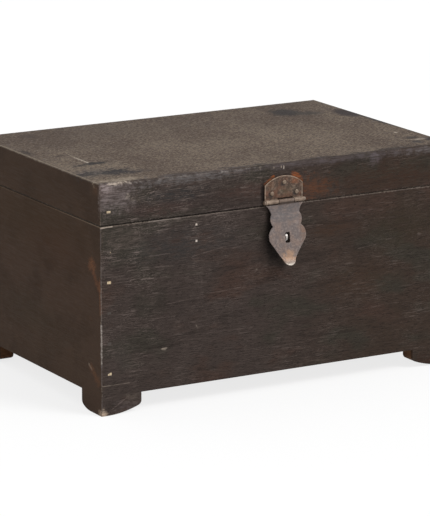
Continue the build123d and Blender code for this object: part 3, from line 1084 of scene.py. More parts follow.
@dataclass(frozen=True)
class DustyWood(StainedWood):
    """Stained wood whose upper face is faded and holds a dusty film in its grain.

    Attributes:
        top: the faded stain.
        top_dust: the dusty film on it.
        top_deep: dark streaks, pores and specks.
        front_edge: where the face ends at the front.
    """

    top: Colour = Colour(74, 60, 51)
    top_dust: Colour = Colour(120, 107, 93)
    top_deep: Colour = Colour(44, 34, 30)
    front_edge: float = 0.0

    LOOKS_UP = Step(0.80, 0.97)
    SPECKLE_STRETCH = (0.6, 1.0, 1.0)
    SPECKLE = Cloud(560.0, 2.0, 0.7)
    DARK_SPECKLE = Step(0.44, 0.28, 0.0, 0.9)
    BROAD = Cloud(9.0, 4.0, 0.6)
    BROAD_SHIFT = Step(0.35, 0.65, -0.05, 0.06)
    HELD_DUST = Step(0.40, 0.66)
    TOP_STREAKS = Step(0.46, 0.30, 0.0, 0.7)
    TOP_PORES = 0.5
    TO_THE_BACK = Step(-60 * MM, 130 * MM, 0.0, 0.17)
    RIM_STRETCH = (0.2, 1.0, 1.0)
    RIM = Cloud(110.0, 4.0, 0.7)
    RIM_WIDTH = Step(0.38, 0.72, 3 * MM, 17 * MM)
    RIM_END = Step(-1.0 * MM, 2.0 * MM)

    def upper_face(
        self, wires: Wiring, position: Socket, up: Socket, grain: bpy.types.Node, colour: Socket
    ) -> Socket:
        """The colour with the faded and dusty wood on a face that looks up.

        Args:
            wires: adds nodes to the material.
            position: the point that is coloured.
            up: how far the face looks up, from -1 to 1.
            grain: the board's grain.
            colour: the colour so far.

        Returns:
            The colour to use.
        """
        stretched = wires.vector("MULTIPLY", position, self.SPECKLE_STRETCH)
        speckle = wires.cloud(stretched, self.SPECKLE)
        broad = wires.cloud(position, self.BROAD)
        held = wires.math("ADD", wires.ramp(broad, self.BROAD_SHIFT), speckle)
        faded = wires.laid(self.top, self.top_dust, held, self.HELD_DUST)
        faded = wires.laid(faded, self.top_deep, grain.outputs["Streaks"], self.TOP_STREAKS)
        pores = wires.math("MULTIPLY", grain.outputs["Pores"], self.TOP_PORES)
        faded = wires.blend(pores, faded, self.top_deep)
        faded = wires.laid(faded, self.top_deep, speckle, self.DARK_SPECKLE)
        _, back, _ = wires.split(position)
        faded = wires.laid(faded, self.top_deep, back, self.TO_THE_BACK)
        rim = wires.math("SUBTRACT", back, self.front_edge)
        drawn = wires.vector("MULTIPLY", position, self.RIM_STRETCH)
        width = wires.ramp(wires.cloud(drawn, self.RIM), self.RIM_WIDTH)
        behind = wires.ramp(wires.math("SUBTRACT", rim, width), self.RIM_END)
        flat = wires.ramp(up, self.LOOKS_UP)
        return wires.blend(wires.math("MULTIPLY", behind, flat), colour, faded)


class Iron(Enum):
    """The irons on the chest: each one's own colour, its rust, its pits and its worn places."""

    CUT_NAIL = (64, 50, 44), (90, 58, 38), (40, 30, 26), (96, 82, 72)
    DOME_NAIL = (124, 106, 90), (104, 76, 54), (66, 52, 44), (184, 170, 154)
    BRAD = (192, 180, 170), (160, 132, 108), (110, 92, 80), (228, 220, 212)
    HINGE = (84, 68, 56), (108, 70, 44), (50, 36, 28), (138, 122, 106)
    PIN = (124, 110, 98), (108, 78, 54), (70, 56, 48), (166, 152, 136)
    LEAF = (63, 46, 33), (96, 55, 30), (36, 25, 19), (154, 134, 116)
    PLATE = (106, 95, 92), (132, 108, 94), (72, 60, 56), (154, 142, 136)
    STAPLE = (190, 186, 182), (150, 120, 96), (110, 96, 86), (228, 226, 224)

    def __init__(self, base: Tone, rust: Tone, deep: Tone, bright: Tone) -> None:
        """Keeps the colours.

        Args:
            base: its own colour.
            rust: its rust.
            deep: its pits.
            bright: its worn places, and the painted highlight on sharp edges.
        """
        self.base = Colour(*base)
        self.rust = Colour(*rust)
        self.deep = Colour(*deep)
        self.bright = Colour(*bright)


@dataclass(frozen=True)
class OldIron(Finish):
    """Rusted iron with paler worn places.

    Attributes:
        name: the material's name.
        iron: its colours.
        rust_share: how much of the rust shows, from 0 to 1.
        edge_share: how bright its sharp edges are, from 0 to 1, as rubbed wear with a painted
            highlight.
        metal: how metallic it is where it isn't rusty.
        roughness: its roughness between smooth and mottled places.
        scale: how many patches of rust there are in a metre.
        pit_share: how dark its pits are, from 0 to 1.
        pit_depth: how deep they are.
        marks: the marks on it, the last one on top.
    """

    name: str
    iron: Iron
    rust_share: float = 0.5
    edge_share: float = 0.0
    metal: float = 0.3
    roughness: float = 0.55
    scale: float = 110.0
    pit_share: float = 0.5
    pit_depth: float = 0.08 * MM
    marks: tuple[Mark, ...] = ()

    WORN = Step(0.44, 0.72, 0.0, 0.5)
    RUST_FROM, RUST_TO = 0.40, 0.68
    SMOOTH_AT, MOTTLED_AT = 0.3, 0.7
    SMOOTH_ROUGHER, MOTTLED_SMOOTHER = 0.15, 0.08
    MOTTLE_RELIEF = 0.6
    RELIEF_STRENGTH = 0.7
    SHARP_FROM, SHARP_TO = 0.51, 0.56

    def wire(self, wires: Wiring, shader: bpy.types.Node) -> None:
        """Feeds the shader with iron, rust, pits and worn edges.

        Args:
            wires: adds nodes to the material.
            shader: its Principled BSDF.
        """
        position = wires.node("ShaderNodeTexCoord").outputs["Object"]
        worn = wires.use(CORROSION, Position=position, Scale=self.scale)
        mottle = worn.outputs["Mottle"]
        colour = wires.laid(self.iron.base, self.iron.bright, mottle, self.WORN)
        rusty = Step(self.RUST_FROM, self.RUST_TO, 0.0, self.rust_share)
        share = wires.ramp(worn.outputs["Rust"], rusty)
        colour = wires.blend(share, colour, self.iron.rust)
        pits = wires.math("MULTIPLY", worn.outputs["Pits"], self.pit_share)
        colour = wires.blend(pits, colour, self.iron.deep)
        colour = self.raised(wires, position, colour)
        colour = marked(wires, position, colour, self.marks)
        wires.feed(shader.inputs["Base Color"], colour)
        metallic = wires.ramp(share, Step(0.0, 1.0, self.metal, 0.0))
        wires.feed(shader.inputs["Metallic"], metallic)
        most = self.roughness + self.SMOOTH_ROUGHER
        least = self.roughness - self.MOTTLED_SMOOTHER
        rough = wires.ramp(mottle, Step(self.SMOOTH_AT, self.MOTTLED_AT, most, least))
        wires.feed(shader.inputs["Roughness"], rough)
        relief = wires.math("SUBTRACT", wires.math("MULTIPLY", mottle, self.MOTTLE_RELIEF), pits)
        add_bump(wires, shader, relief, self.pit_depth, self.RELIEF_STRENGTH)

    def raised(self, wires: Wiring, position: Socket, colour: Socket) -> Socket:
        """The colour with its sharp edges rubbed bright, with a painted highlight on them as well.

        Args:
            wires: adds nodes to the material.
            position: the point that is coloured.
            colour: the colour so far.

        Returns:
            The colour to use.
        """
        if not self.edge_share:
            return colour
        # Pointiness picks out sharp edges, which are painted bright as wear and as a highlight.
        sharp = wires.node("ShaderNodeNewGeometry").outputs["Pointiness"]
        rubbed = Step(self.SHARP_FROM, self.SHARP_TO, 0.0, self.edge_share)
        return wires.laid(colour, self.iron.bright, sharp, rubbed)


@dataclass(frozen=True)
class LeafIron(OldIron):
    """Iron of a leaf nailed to the front, whose rim and knuckles stand up and are rubbed bright.

    Attributes:
        wood_face: where the wood's face is.
        rubbed_from: how far a rubbed place stands off it.
    """

    wood_face: float = 0.0
    rubbed_from: float = 1.38 * MM

    RUBBED_OVER = 0.2 * MM
    UNEVEN = Cloud(300.0, 3.0, 0.6)
    UNEVEN_SHARE = Step(0.30, 0.60, 0.35, 1.0)

    def raised(self, wires: Wiring, position: Socket, colour: Socket) -> Socket:
        """The colour with what stands off the wood rubbed bright.

        Args:
            wires: adds nodes to the material.
            position: the point that is coloured.
            colour: the colour so far.

        Returns:
            The colour to use.
        """
        _, y, _ = wires.split(position)
        height = wires.math("SUBTRACT", self.wood_face, y)
        uneven = wires.ramp(wires.cloud(position, self.UNEVEN), self.UNEVEN_SHARE)
        rubbed_to = self.rubbed_from + self.RUBBED_OVER
        high = wires.ramp(height, Step(self.rubbed_from, rubbed_to, 0.0, self.edge_share))
        return wires.blend(wires.math("MULTIPLY", high, uneven), colour, self.iron.bright)


@dataclass(frozen=True)
class Bamboo(Finish):
    """Cut bamboo pegs, some of them still under the stain.

    Attributes:
        name: the material's name.
        stained: the stain over some pegs.
        cream: its own colour.
        fibre: its fibres.
        roughness: its roughness.
    """

    name: str
    stained: tuple[Mark, ...]
    cream: Colour = Colour(214, 198, 168)
    fibre: Colour = Colour(156, 124, 84)
    roughness: float = 0.7

    FIBRES = Cloud(1500.0)
    CREAM_SHARE = Step(0.35, 0.6)
    RELIEF = 0.1 * MM
    RELIEF_STRENGTH = 0.5

    def wire(self, wires: Wiring, shader: bpy.types.Node) -> None:
        """Feeds the shader with fibres and the stain over them.

        Args:
            wires: adds nodes to the material.
            shader: its Principled BSDF.
        """
        position = wires.node("ShaderNodeTexCoord").outputs["Object"]
        fibres = wires.cloud(position, self.FIBRES)
        colour = wires.laid(self.fibre, self.cream, fibres, self.CREAM_SHARE)
        wires.feed(shader.inputs["Base Color"], marked(wires, position, colour, self.stained))
        shader.inputs["Roughness"].default_value = self.roughness
        add_bump(wires, shader, fibres, self.RELIEF, self.RELIEF_STRENGTH)


# Iron that was made by hand


def node_of(name: str) -> bpy.types.Object:
    """The frame's object for a node."""
    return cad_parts[name]


def new_piece(
    name: str, mesh: bpy.types.Mesh, body: str, nodes: Sequence[str]
) -> bpy.types.Object:
    """Puts a mesh into the scene in place of nodes.

    Args:
        name: the piece's name.
        mesh: its mesh, in the frame's own places.
        body: the body that it moves with.
        nodes: the nodes that it stands for.

    Returns:
        The new piece.
    """
    piece = bpy.data.objects.new(name, mesh)
    bpy.context.scene.collection.objects.link(piece)
    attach(piece, body)
    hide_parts(*nodes)
    log.info("%s: %d faces, on %s", name, len(mesh.polygons), body)
    return piece


def islands(node: str) -> list[tuple[Vector, Vector]]:
    """The box of each separate shape in a node.

    Args:
        node: the node's name.

    Returns:
        The low and high corner of each box, in the order of the mesh.
    """
    whole = bmesh.new()
    whole.from_mesh(node_of(node).data)
    bmesh.ops.remove_doubles(whole, verts=whole.verts, dist=WELD)
    boxes = []
    seen: set[bmesh.types.BMVert] = set()
    for first in whole.verts:
        if first in seen:
            continue
        group = [first]
        seen.add(first)
        for vertex in group:
            others = {edge.other_vert(vertex) for edge in vertex.link_edges} - seen
            seen |= others
            group.extend(sorted(others, key=lambda other: other.index))
        low = Vector(min(vertex.co[axis] for vertex in group) for axis in range(3))
        high = Vector(max(vertex.co[axis] for vertex in group) for axis in range(3))
        boxes.append((low, high))
    whole.free()
    return boxes


@dataclass(frozen=True)
class Forging:
    """Turns a crisp iron shape into a hand-forged one, with soft edges and shallow dents.

    Attributes:
        voxel: how fine the new mesh is.
        rounds: how many times it is smoothed.
        softness: how far each round moves a point towards its neighbours, from 0 to 1.
        dent: how deep the dents go.
        dent_size: how far apart they are.
        fine_share: how deep the finer dents are, beside the broad ones.
        fine_scale: how many of them there are to a broad one.
        seed: which dents it gets.
    """

    voxel: float = 0.3 * MM
    rounds: int = 3
    softness: float = 0.5
    dent: float = 0.12 * MM
    dent_size: float = 7 * MM
    fine_share: float = 0.5
    fine_scale: float = 2.3
    seed: float = 0.0

    def forge(self, node: str) -> bpy.types.Mesh:
        """Makes the forged mesh of a node, inside the node's own box.

        Args:
            node: the node's name.

        Returns:
            The new mesh.
        """
        mesh = self._remeshed(node)
        worked = bmesh.new()
        worked.from_mesh(mesh)
        every_way = {f"use_axis_{axis}": True for axis in "xyz"}
        for _ in range(self.rounds):
            bmesh.ops.smooth_vert(worked, verts=worked.verts, factor=self.softness, **every_way)
        worked.normal_update()
        low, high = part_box(node)
        for vertex in worked.verts:
            moved = vertex.co + vertex.normal * self._depth(vertex.co)
            vertex.co = Vector(min(max(moved[axis], low[axis]), high[axis]) for axis in range(3))
        worked.to_mesh(mesh)
        worked.free()
        mesh.shade_smooth()
        return mesh

    def _depth(self, point: Vector) -> float:
        """How far the hammer has moved the surface at a point.

        Args:
            point: the point.

        Returns:
            How far it moves out. It is below 0 where the point moves in.
        """
        place = point / self.dent_size + Vector((self.seed, 0.0, 0.0))
        beaten = noise.noise(place) + self.fine_share * noise.noise(place * self.fine_scale)
        return self.dent * beaten - self.dent / 2

    def _remeshed(self, node: str) -> bpy.types.Mesh:
        """A node's shape as an even mesh.

        Args:
            node: the node's name.

        Returns:
            The new mesh.
        """
        closed = bmesh.new()
        closed.from_mesh(node_of(node).data)
        bmesh.ops.remove_doubles(closed, verts=closed.verts, dist=WELD)
        crisp = bpy.data.meshes.new("crisp")
        closed.to_mesh(crisp)
        closed.free()
        holder = bpy.data.objects.new("crisp", crisp)
        bpy.context.scene.collection.objects.link(holder)
        remesh = holder.modifiers.new("even", "REMESH")
        remesh.mode = "VOXEL"
        remesh.voxel_size = self.voxel
        graph = bpy.context.evaluated_depsgraph_get()
        even = bpy.data.meshes.new_from_object(holder.evaluated_get(graph))
        even.materials.clear()
        bpy.data.objects.remove(holder)
        return even


class Facing(Enum):
    """Which way nail heads look, as the sign of Y."""

    FRONT = -1
    BACK = 1


@dataclass(frozen=True)
class DomeNails:
    """Forged nails with round heads and square shanks, in the places of a node's plainer ones.

    Attributes:
        node: the node that they stand for.
        body: the body that they move with.
        facing: which way the heads look.
        seed: how the heads are beaten out of round.
        sides: how many points go round a nail.
        radius: half a head's breadth.
        height: how high a head is.
        head: its rings, each with a share of the radius and of the height.
        shank: half the shank's breadth under the head.
        tip: half its breadth at the point.
        uneven: how much of the radius the beating takes off at most.
    """

    node: str
    body: str
    facing: Facing
    seed: int
    sides: int = 24
    radius: float = 2.48 * MM
    height: float = 1.5 * MM
    head: tuple[tuple[float, float], ...] = (
        (0.96, 0.0),
        (1.0, 0.16),
        (0.97, 0.36),
        (0.88, 0.58),
        (0.72, 0.77),
        (0.50, 0.91),
        (0.25, 0.98),
    )
    shank: float = 1.0 * MM
    tip: float = 0.3 * MM
    uneven: float = 0.05

    def build(self) -> bpy.types.Object:
        """Makes the nails.

        Returns:
            The piece that holds them all.
        """
        random = Random(self.seed)
        mesh = bpy.data.meshes.new(self.node)
        made = bmesh.new()
        for low, high in islands(self.node):
            self._nail(made, low, high, random)
        made.to_mesh(mesh)
        made.free()
        mesh.shade_smooth()
        return new_piece(f"{self.node}_forged", mesh, self.body, [self.node])

    def _nail(self, made: bmesh.types.BMesh, low: Vector, high: Vector, random: Random) -> None:
        """Adds one nail from its point to its crown.

        Args:
            made: the mesh that it goes into.
            low: the low corner of the box that it fills.
            high: the high corner.
            random: draws how its head is beaten.
        """
        outward = self.facing.value
        point, crown = (low.y, high.y) if self.facing is Facing.BACK else (high.y, low.y)
        seat = crown - outward * self.height
        middle = Vector(((low.x + high.x) / 2, 0.0, (low.z + high.z) / 2))
        round_off = [1.0 - random.uniform(0.0, self.uneven) for _ in range(self.sides)]
        rings = [
            self._square(made, middle, point, self.tip),
            self._square(made, middle, seat, self.shank),
        ]
        for share, rise in self.head:
            reach = [share * self.radius * off for off in round_off]
            y = seat + outward * rise * self.height
            rings.append(self._ring(made, middle, y, reach))
        for first, second in zip(rings, rings[1:]):
            for here, there in zip(range(self.sides), [*range(1, self.sides), 0]):
                made.faces.new((first[here], first[there], second[there], second[here]))
        made.faces.new(rings[0])
        made.faces.new(rings[-1])
        bmesh.ops.recalc_face_normals(made, faces=made.faces)

    def _square(
        self, made: bmesh.types.BMesh, middle: Vector, y: float, half: float
    ) -> list[bmesh.types.BMVert]:
        """A ring of points round a square.

        Args:
            made: the mesh that they go into.
            middle: the nail's middle.
            y: how far back the ring is.
            half: half the square's side.

        Returns:
            The points, in order.
        """
        turns = [math.tau * step / self.sides for step in range(self.sides)]
        reach = [half / max(abs(math.cos(turn)), abs(math.sin(turn))) for turn in turns]
        return self._ring(made, middle, y, reach)

    def _ring(
        self, made: bmesh.types.BMesh, middle: Vector, y: float, reach: Sequence[float]
    ) -> list[bmesh.types.BMVert]:
        """A ring of points at their own distances from the nail's middle.

        Args:
            made: the mesh that they go into.
            middle: the nail's middle.
            y: how far back the ring is.
            reach: how far each point is from the middle.

        Returns:
            The points, in order.
        """
        ring = []
        for step, distance in enumerate(reach):
            turn = math.tau * step / self.sides
            x = middle.x + distance * math.cos(turn)
            z = middle.z + distance * math.sin(turn)
            ring.append(made.verts.new((x, y, z)))
        return ring


# The chest's sub-assemblies


def box_around(*names: str) -> Surroundings:
    """The box round several nodes.

    Args:
        names: the nodes.

    Returns:
        Its centre and half its size.
    """
    corners = [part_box(name) for name in names]
    low = [min(pair[0][axis] for pair in corners) for axis in range(3)]
    high = [max(pair[1][axis] for pair in corners) for axis in range(3)]
    centre = tuple((a + b) / 2 for a, b in zip(low, high))
    half = tuple((b - a) / 2 for a, b in zip(low, high))
    return Surroundings(centre, half)


def dome_iron(name: str) -> OldIron:
    """The finish of round nail heads, with less rust and fewer dark pits than plain old iron."""
    return OldIron(name, Iron.DOME_NAIL, rust_share=0.3, pit_share=0.3)


# Colours that several marks have
PALE = (158, 144, 130)
STREAK = (112, 98, 92)
SHADE = (16, 13, 12)
SEAM_BLACK = (18, 14, 12)


@dataclass
class Carcass:
    """The walls, the base and the feet, with their pegs and nails.

    Attributes:
        walls: the boards, each with the way its grain runs.
        wall_seed: how far each board's grain is from the last one's.
        feet: the four corners.
        foot_seed: which grain the feet have.
        wall_marks: the marks on the boards.
        foot_marks: the marks on the feet.
        under_stain: the stain over some pegs.
    """

    walls: tuple[tuple[str, GrainAxis], ...] = (
        ("front_board", GrainAxis.ALONG),
        ("back_board", GrainAxis.ALONG),
        ("left_side_board", GrainAxis.ACROSS),
        ("right_side_board", GrainAxis.ACROSS),
        ("base_board", GrainAxis.ALONG),
    )
    wall_seed: float = 11.3
    feet: tuple[str, ...] = ("front_left", "front_right", "back_left", "back_right")
    foot_seed: float = 2.1
    wall_marks: tuple[Mark, ...] = (
        *stains(
            on_front,
            ((-140, 105), (75, 8, 34), (44, 37, 34), 0.35, 1.0),
            ((100, 172), (60, 8, 26), (46, 38, 34), 0.35, 1.0),
            ((-140, 160), (40, 8, 24), (48, 40, 37), 0.3, 1.0),
            ((-120, 176), (85, 8, 26), (48, 50, 50), 0.5, 1.0),
            ((150, 165), (60, 8, 32), (52, 45, 34), 0.6, 1.0),
            ((65, 172), (45, 8, 12), (66, 47, 36), 0.6, 1.0),
            ((95, 110), (60, 8, 24), (64, 47, 36), 0.5, 1.0),
            ((-190, 190), (26, 8, 14), (92, 80, 74), 0.5, 2.4),
            ((-200, 60), (20, 8, 30), (74, 65, 62), 0.4, 2.4),
            # Painted shadow that the hasp plate casts on the front board, at its left and below its
            # tip, and painted shade under the hasp's knuckle.
            ((-13, 192), (5.5, 8, 20), SHADE, 0.7, 0.5, 0.4, False),
            ((-12, 168), (10, 8, 18), SHADE, 0.8, 0.6, 0.2, False),
            ((-7, 152), (14, 8, 13), SHADE, 0.75, 0.6, 0.1, False),
            ((0, 140), (9, 8, 8), SHADE, 0.45, 0.6, 0.1, False),
            ((2, 204), (25, 8, 4), SHADE, 0.7, 0.3, 0.5, False),
        ),
        *lines(
            on_front,
            ((-109.2, 161.8), (-68.6, 168), 0.6, STREAK, 0.55, 2.8),
            ((-97.1, 178.5), (-72.7, 182.9), 0.6, STREAK, 0.4, 2.8),
            ((-167.3, 167), (-137.3, 168.7), 0.6, STREAK, 0.4, 2.8),
            ((-214.7, 166.9), (-171.4, 168.3), 0.6, STREAK, 0.4, 2.8),
            ((98.6, 145.8), (121.8, 147.7), 0.6, STREAK, 0.45, 2.8),
            ((33.9, 178.8), (53.4, 177.8), 0.6, STREAK, 0.5, 2.8),
            ((-59.6, 165), (-49.7, 166.1), 0.7, STREAK, 0.55, 2.6),
            ((-140.9, 113.5), (-94.1, 116.3), 0.6, STREAK, 0.45, 2.4),
            ((-79.3, 118.9), (-49.6, 120.7), 0.6, STREAK, 0.45, 2.4),
            ((-157.6, 99.1), (-130.9, 99), 0.6, STREAK, 0.5, 2.4),
            ((-99.1, 75), (-34.5, 74.3), 0.5, STREAK, 0.4, 2.6),
        ),
        *stains(on_front, ((-144.5, 64.6), (5, 4, 1.7), PALE, 0.6, 2.8)),
        *lines(
            on_front,
            ((-105.2, 85.7), (-102.8, 82.1), 0.8, PALE, 0.45, 1.4),
            ((-220, 33), (-186, 33), 0.6, PALE, 0.45, 1.8),
            ((-219.8, 205), (-219.8, 34), 0.9, (116, 110, 112), 0.75, 3.0),
            ((-219.8, 100), (-219.8, 58), 1.6, (176, 166, 158), 0.9, 2.6),
            ((-206, 205.6), (-160, 205.6), 0.6, (112, 96, 88), 0.6, 2.0, False),
            ((-162, 205.6), (-124, 205.6), 0.8, (138, 126, 120), 0.85, 1.2, False),
            ((-124, 205.6), (-60, 205.6), 0.7, (118, 105, 99), 0.7, 1.6, False),
            ((-60, 205.6), (220, 205.6), 0.7, (108, 96, 90), 0.6, 1.4, False),
            ((-220, 204.9), (-206, 205.3), 1.0, (182, 166, 152), 0.85, 1.6, False),
        ),
        *lines(
            on_left,
            ((-140, 205.6), (-20, 205.6), 0.8, (142, 122, 102), 0.9, 0.8, False),
            ((-20, 205.6), (150, 205.6), 0.8, (112, 94, 76), 0.85, 1.0, False),
        ),
        *stains(
            on_front,
            ((-30, 137.5), (1.4, 4, 1.4), PALE, 0.6, 0.8),
            ((178.7, 152.6), (2.6, 4, 1.6), STREAK, 0.55, 4.6),
        ),
        *stains(
            on_left,
            ((0, 50), (6, 190, 62), (72, 57, 45), 0.55, 1.0),
            ((10, 185), (6, 190, 52), (57, 41, 26), 0.8, 1.0, 0.1, False),
            ((-121, 161), (6, 11, 9), (124, 80, 52), 0.75, 2.6),
        ),
        *lines(
            on_left,
            ((-125, 153), (-137, 138), 5.0, (110, 68, 42), 0.6, 2.4),
            ((-138, 150), (-139, 112), 2.4, (116, 78, 54), 0.6, 2.4),
            ((-112.6, 51.5), (-119, 47), 2.0, PALE, 0.5, 1.6),
            ((-118, 49), (-134, 36), 6.0, (110, 72, 46), 0.5, 2.2),
        ),
        *stains(
            on_left,
            ((-40, 165), (6, 90, 30), (66, 44, 31), 0.5, 1.0),
            ((30, 80), (6, 80, 28), (58, 48, 36), 0.5, 1.0),
        ),
    )
    foot_marks: tuple[Mark, ...] = (
        *stains(
            on_front,
            ((-219, 2), (7, 9, 7), (190, 168, 148), 0.9, 2.0),
            ((-188, 9), (26, 5, 9), (92, 82, 80), 0.6, 2.4),
        ),
        *lines(on_front, ((-208, 6), (-190, 17), 0.9, STREAK, 0.6, 1.8)),
        *stains(on_front, ((-183, 16), (12, 5, 7), (94, 84, 76), 0.6, 3.4)),
        *lines(on_front, ((-219.8, 33), (-219.8, 5), 0.9, (118, 110, 108), 0.7, 2.6)),
        *stains(
            on_front,
            ((190, 6), (16, 6, 12), (52, 35, 27), 0.7, 2.0, 0.3),
            ((207, 8), (9, 5, 8), (152, 134, 112), 0.7, 3.4),
        ),
    )
    under_stain: tuple[Mark, ...] = (
        *stains(
            on_front,
            ((-213, 47.4), (3.4, 9, 2.0), (60, 51, 46), 0.95, 0.3, 0.7, False),
            ((-210, 111.8), (9, 9, 6), (51, 43, 39), 0.98, 0.3, 0.7, False),
            ((-210, 77.7), (9, 9, 6), (51, 43, 39), 0.98, 0.3, 0.7, False),
            ((-212, 178), (4, 8, 4), (66, 55, 49), 0.95, 0.3, 0.7, False),
            ((-209, 180), (5, 8, 2.2), (66, 55, 49), 0.9, 0.3, 0.7, False),
        ),
    )

    def build(self) -> None:
        """Dresses the boards, the feet and what holds them."""
        around = box_around("front_board", "back_board", "foot_front_left_long")
        for order, (name, grain) in enumerate(self.walls):
            marks = self.wall_marks if name != "back_board" else ()
            StainedWood(name, grain, self.wall_seed * order, around, marks).dress(node_of(name))
            log.info("%s: stained wood", name)
        for place in self.feet:
            self._foot(place, around)
        pegs = node_of("front_corner_pegs"), node_of("back_corner_pegs")
        Bamboo("wall_pegs", self.under_stain).dress(*pegs)
        log.info("front_corner_pegs, back_corner_pegs: bamboo")
        nails = node_of("base_nails"), node_of("foot_nails")
        OldIron("carcass_nails", Iron.CUT_NAIL).dress(*nails)
        log.info("base_nails, foot_nails: dark iron")

    def _foot(self, place: str, around: Surroundings) -> None:
        """Dresses the two brackets of one foot.

        Args:
            place: the foot's corner.
            around: the box whose edges are worn.
        """
        name = f"foot_{place}"
        finish = StainedWood(name, GrainAxis.ALONG, self.foot_seed, around, self.foot_marks)
        finish.dress(node_of(f"{name}_long"), node_of(f"{name}_side"))
        log.info("%s_long, %s_side: stained wood", name, name)


@dataclass
class Till:
    """The small open box inside at the left.

    Attributes:
        boards: the divider and the floor.
        seed: which grain they have.
        around: a box so large that its edges and its stain are nowhere near them.
    """

    boards: tuple[str, ...] = ("till_divider", "till_floor")
    seed: float = 5.2
    around: Surroundings = Surroundings((0.0, 0.0, 0.0), (1.0, 1.0, 1.0))

    def build(self) -> None:
        """Dresses the divider, the floor and the brads."""
        wood = StainedWood("till_wood", GrainAxis.ACROSS, self.seed, self.around)
        wood.dress(*(node_of(name) for name in self.boards))
        log.info("till_divider, till_floor: bare wood")
        OldIron("till_brads", Iron.BRAD, rust_share=0.3).dress(node_of("till_brads"))
        log.info("till_brads: worn iron")


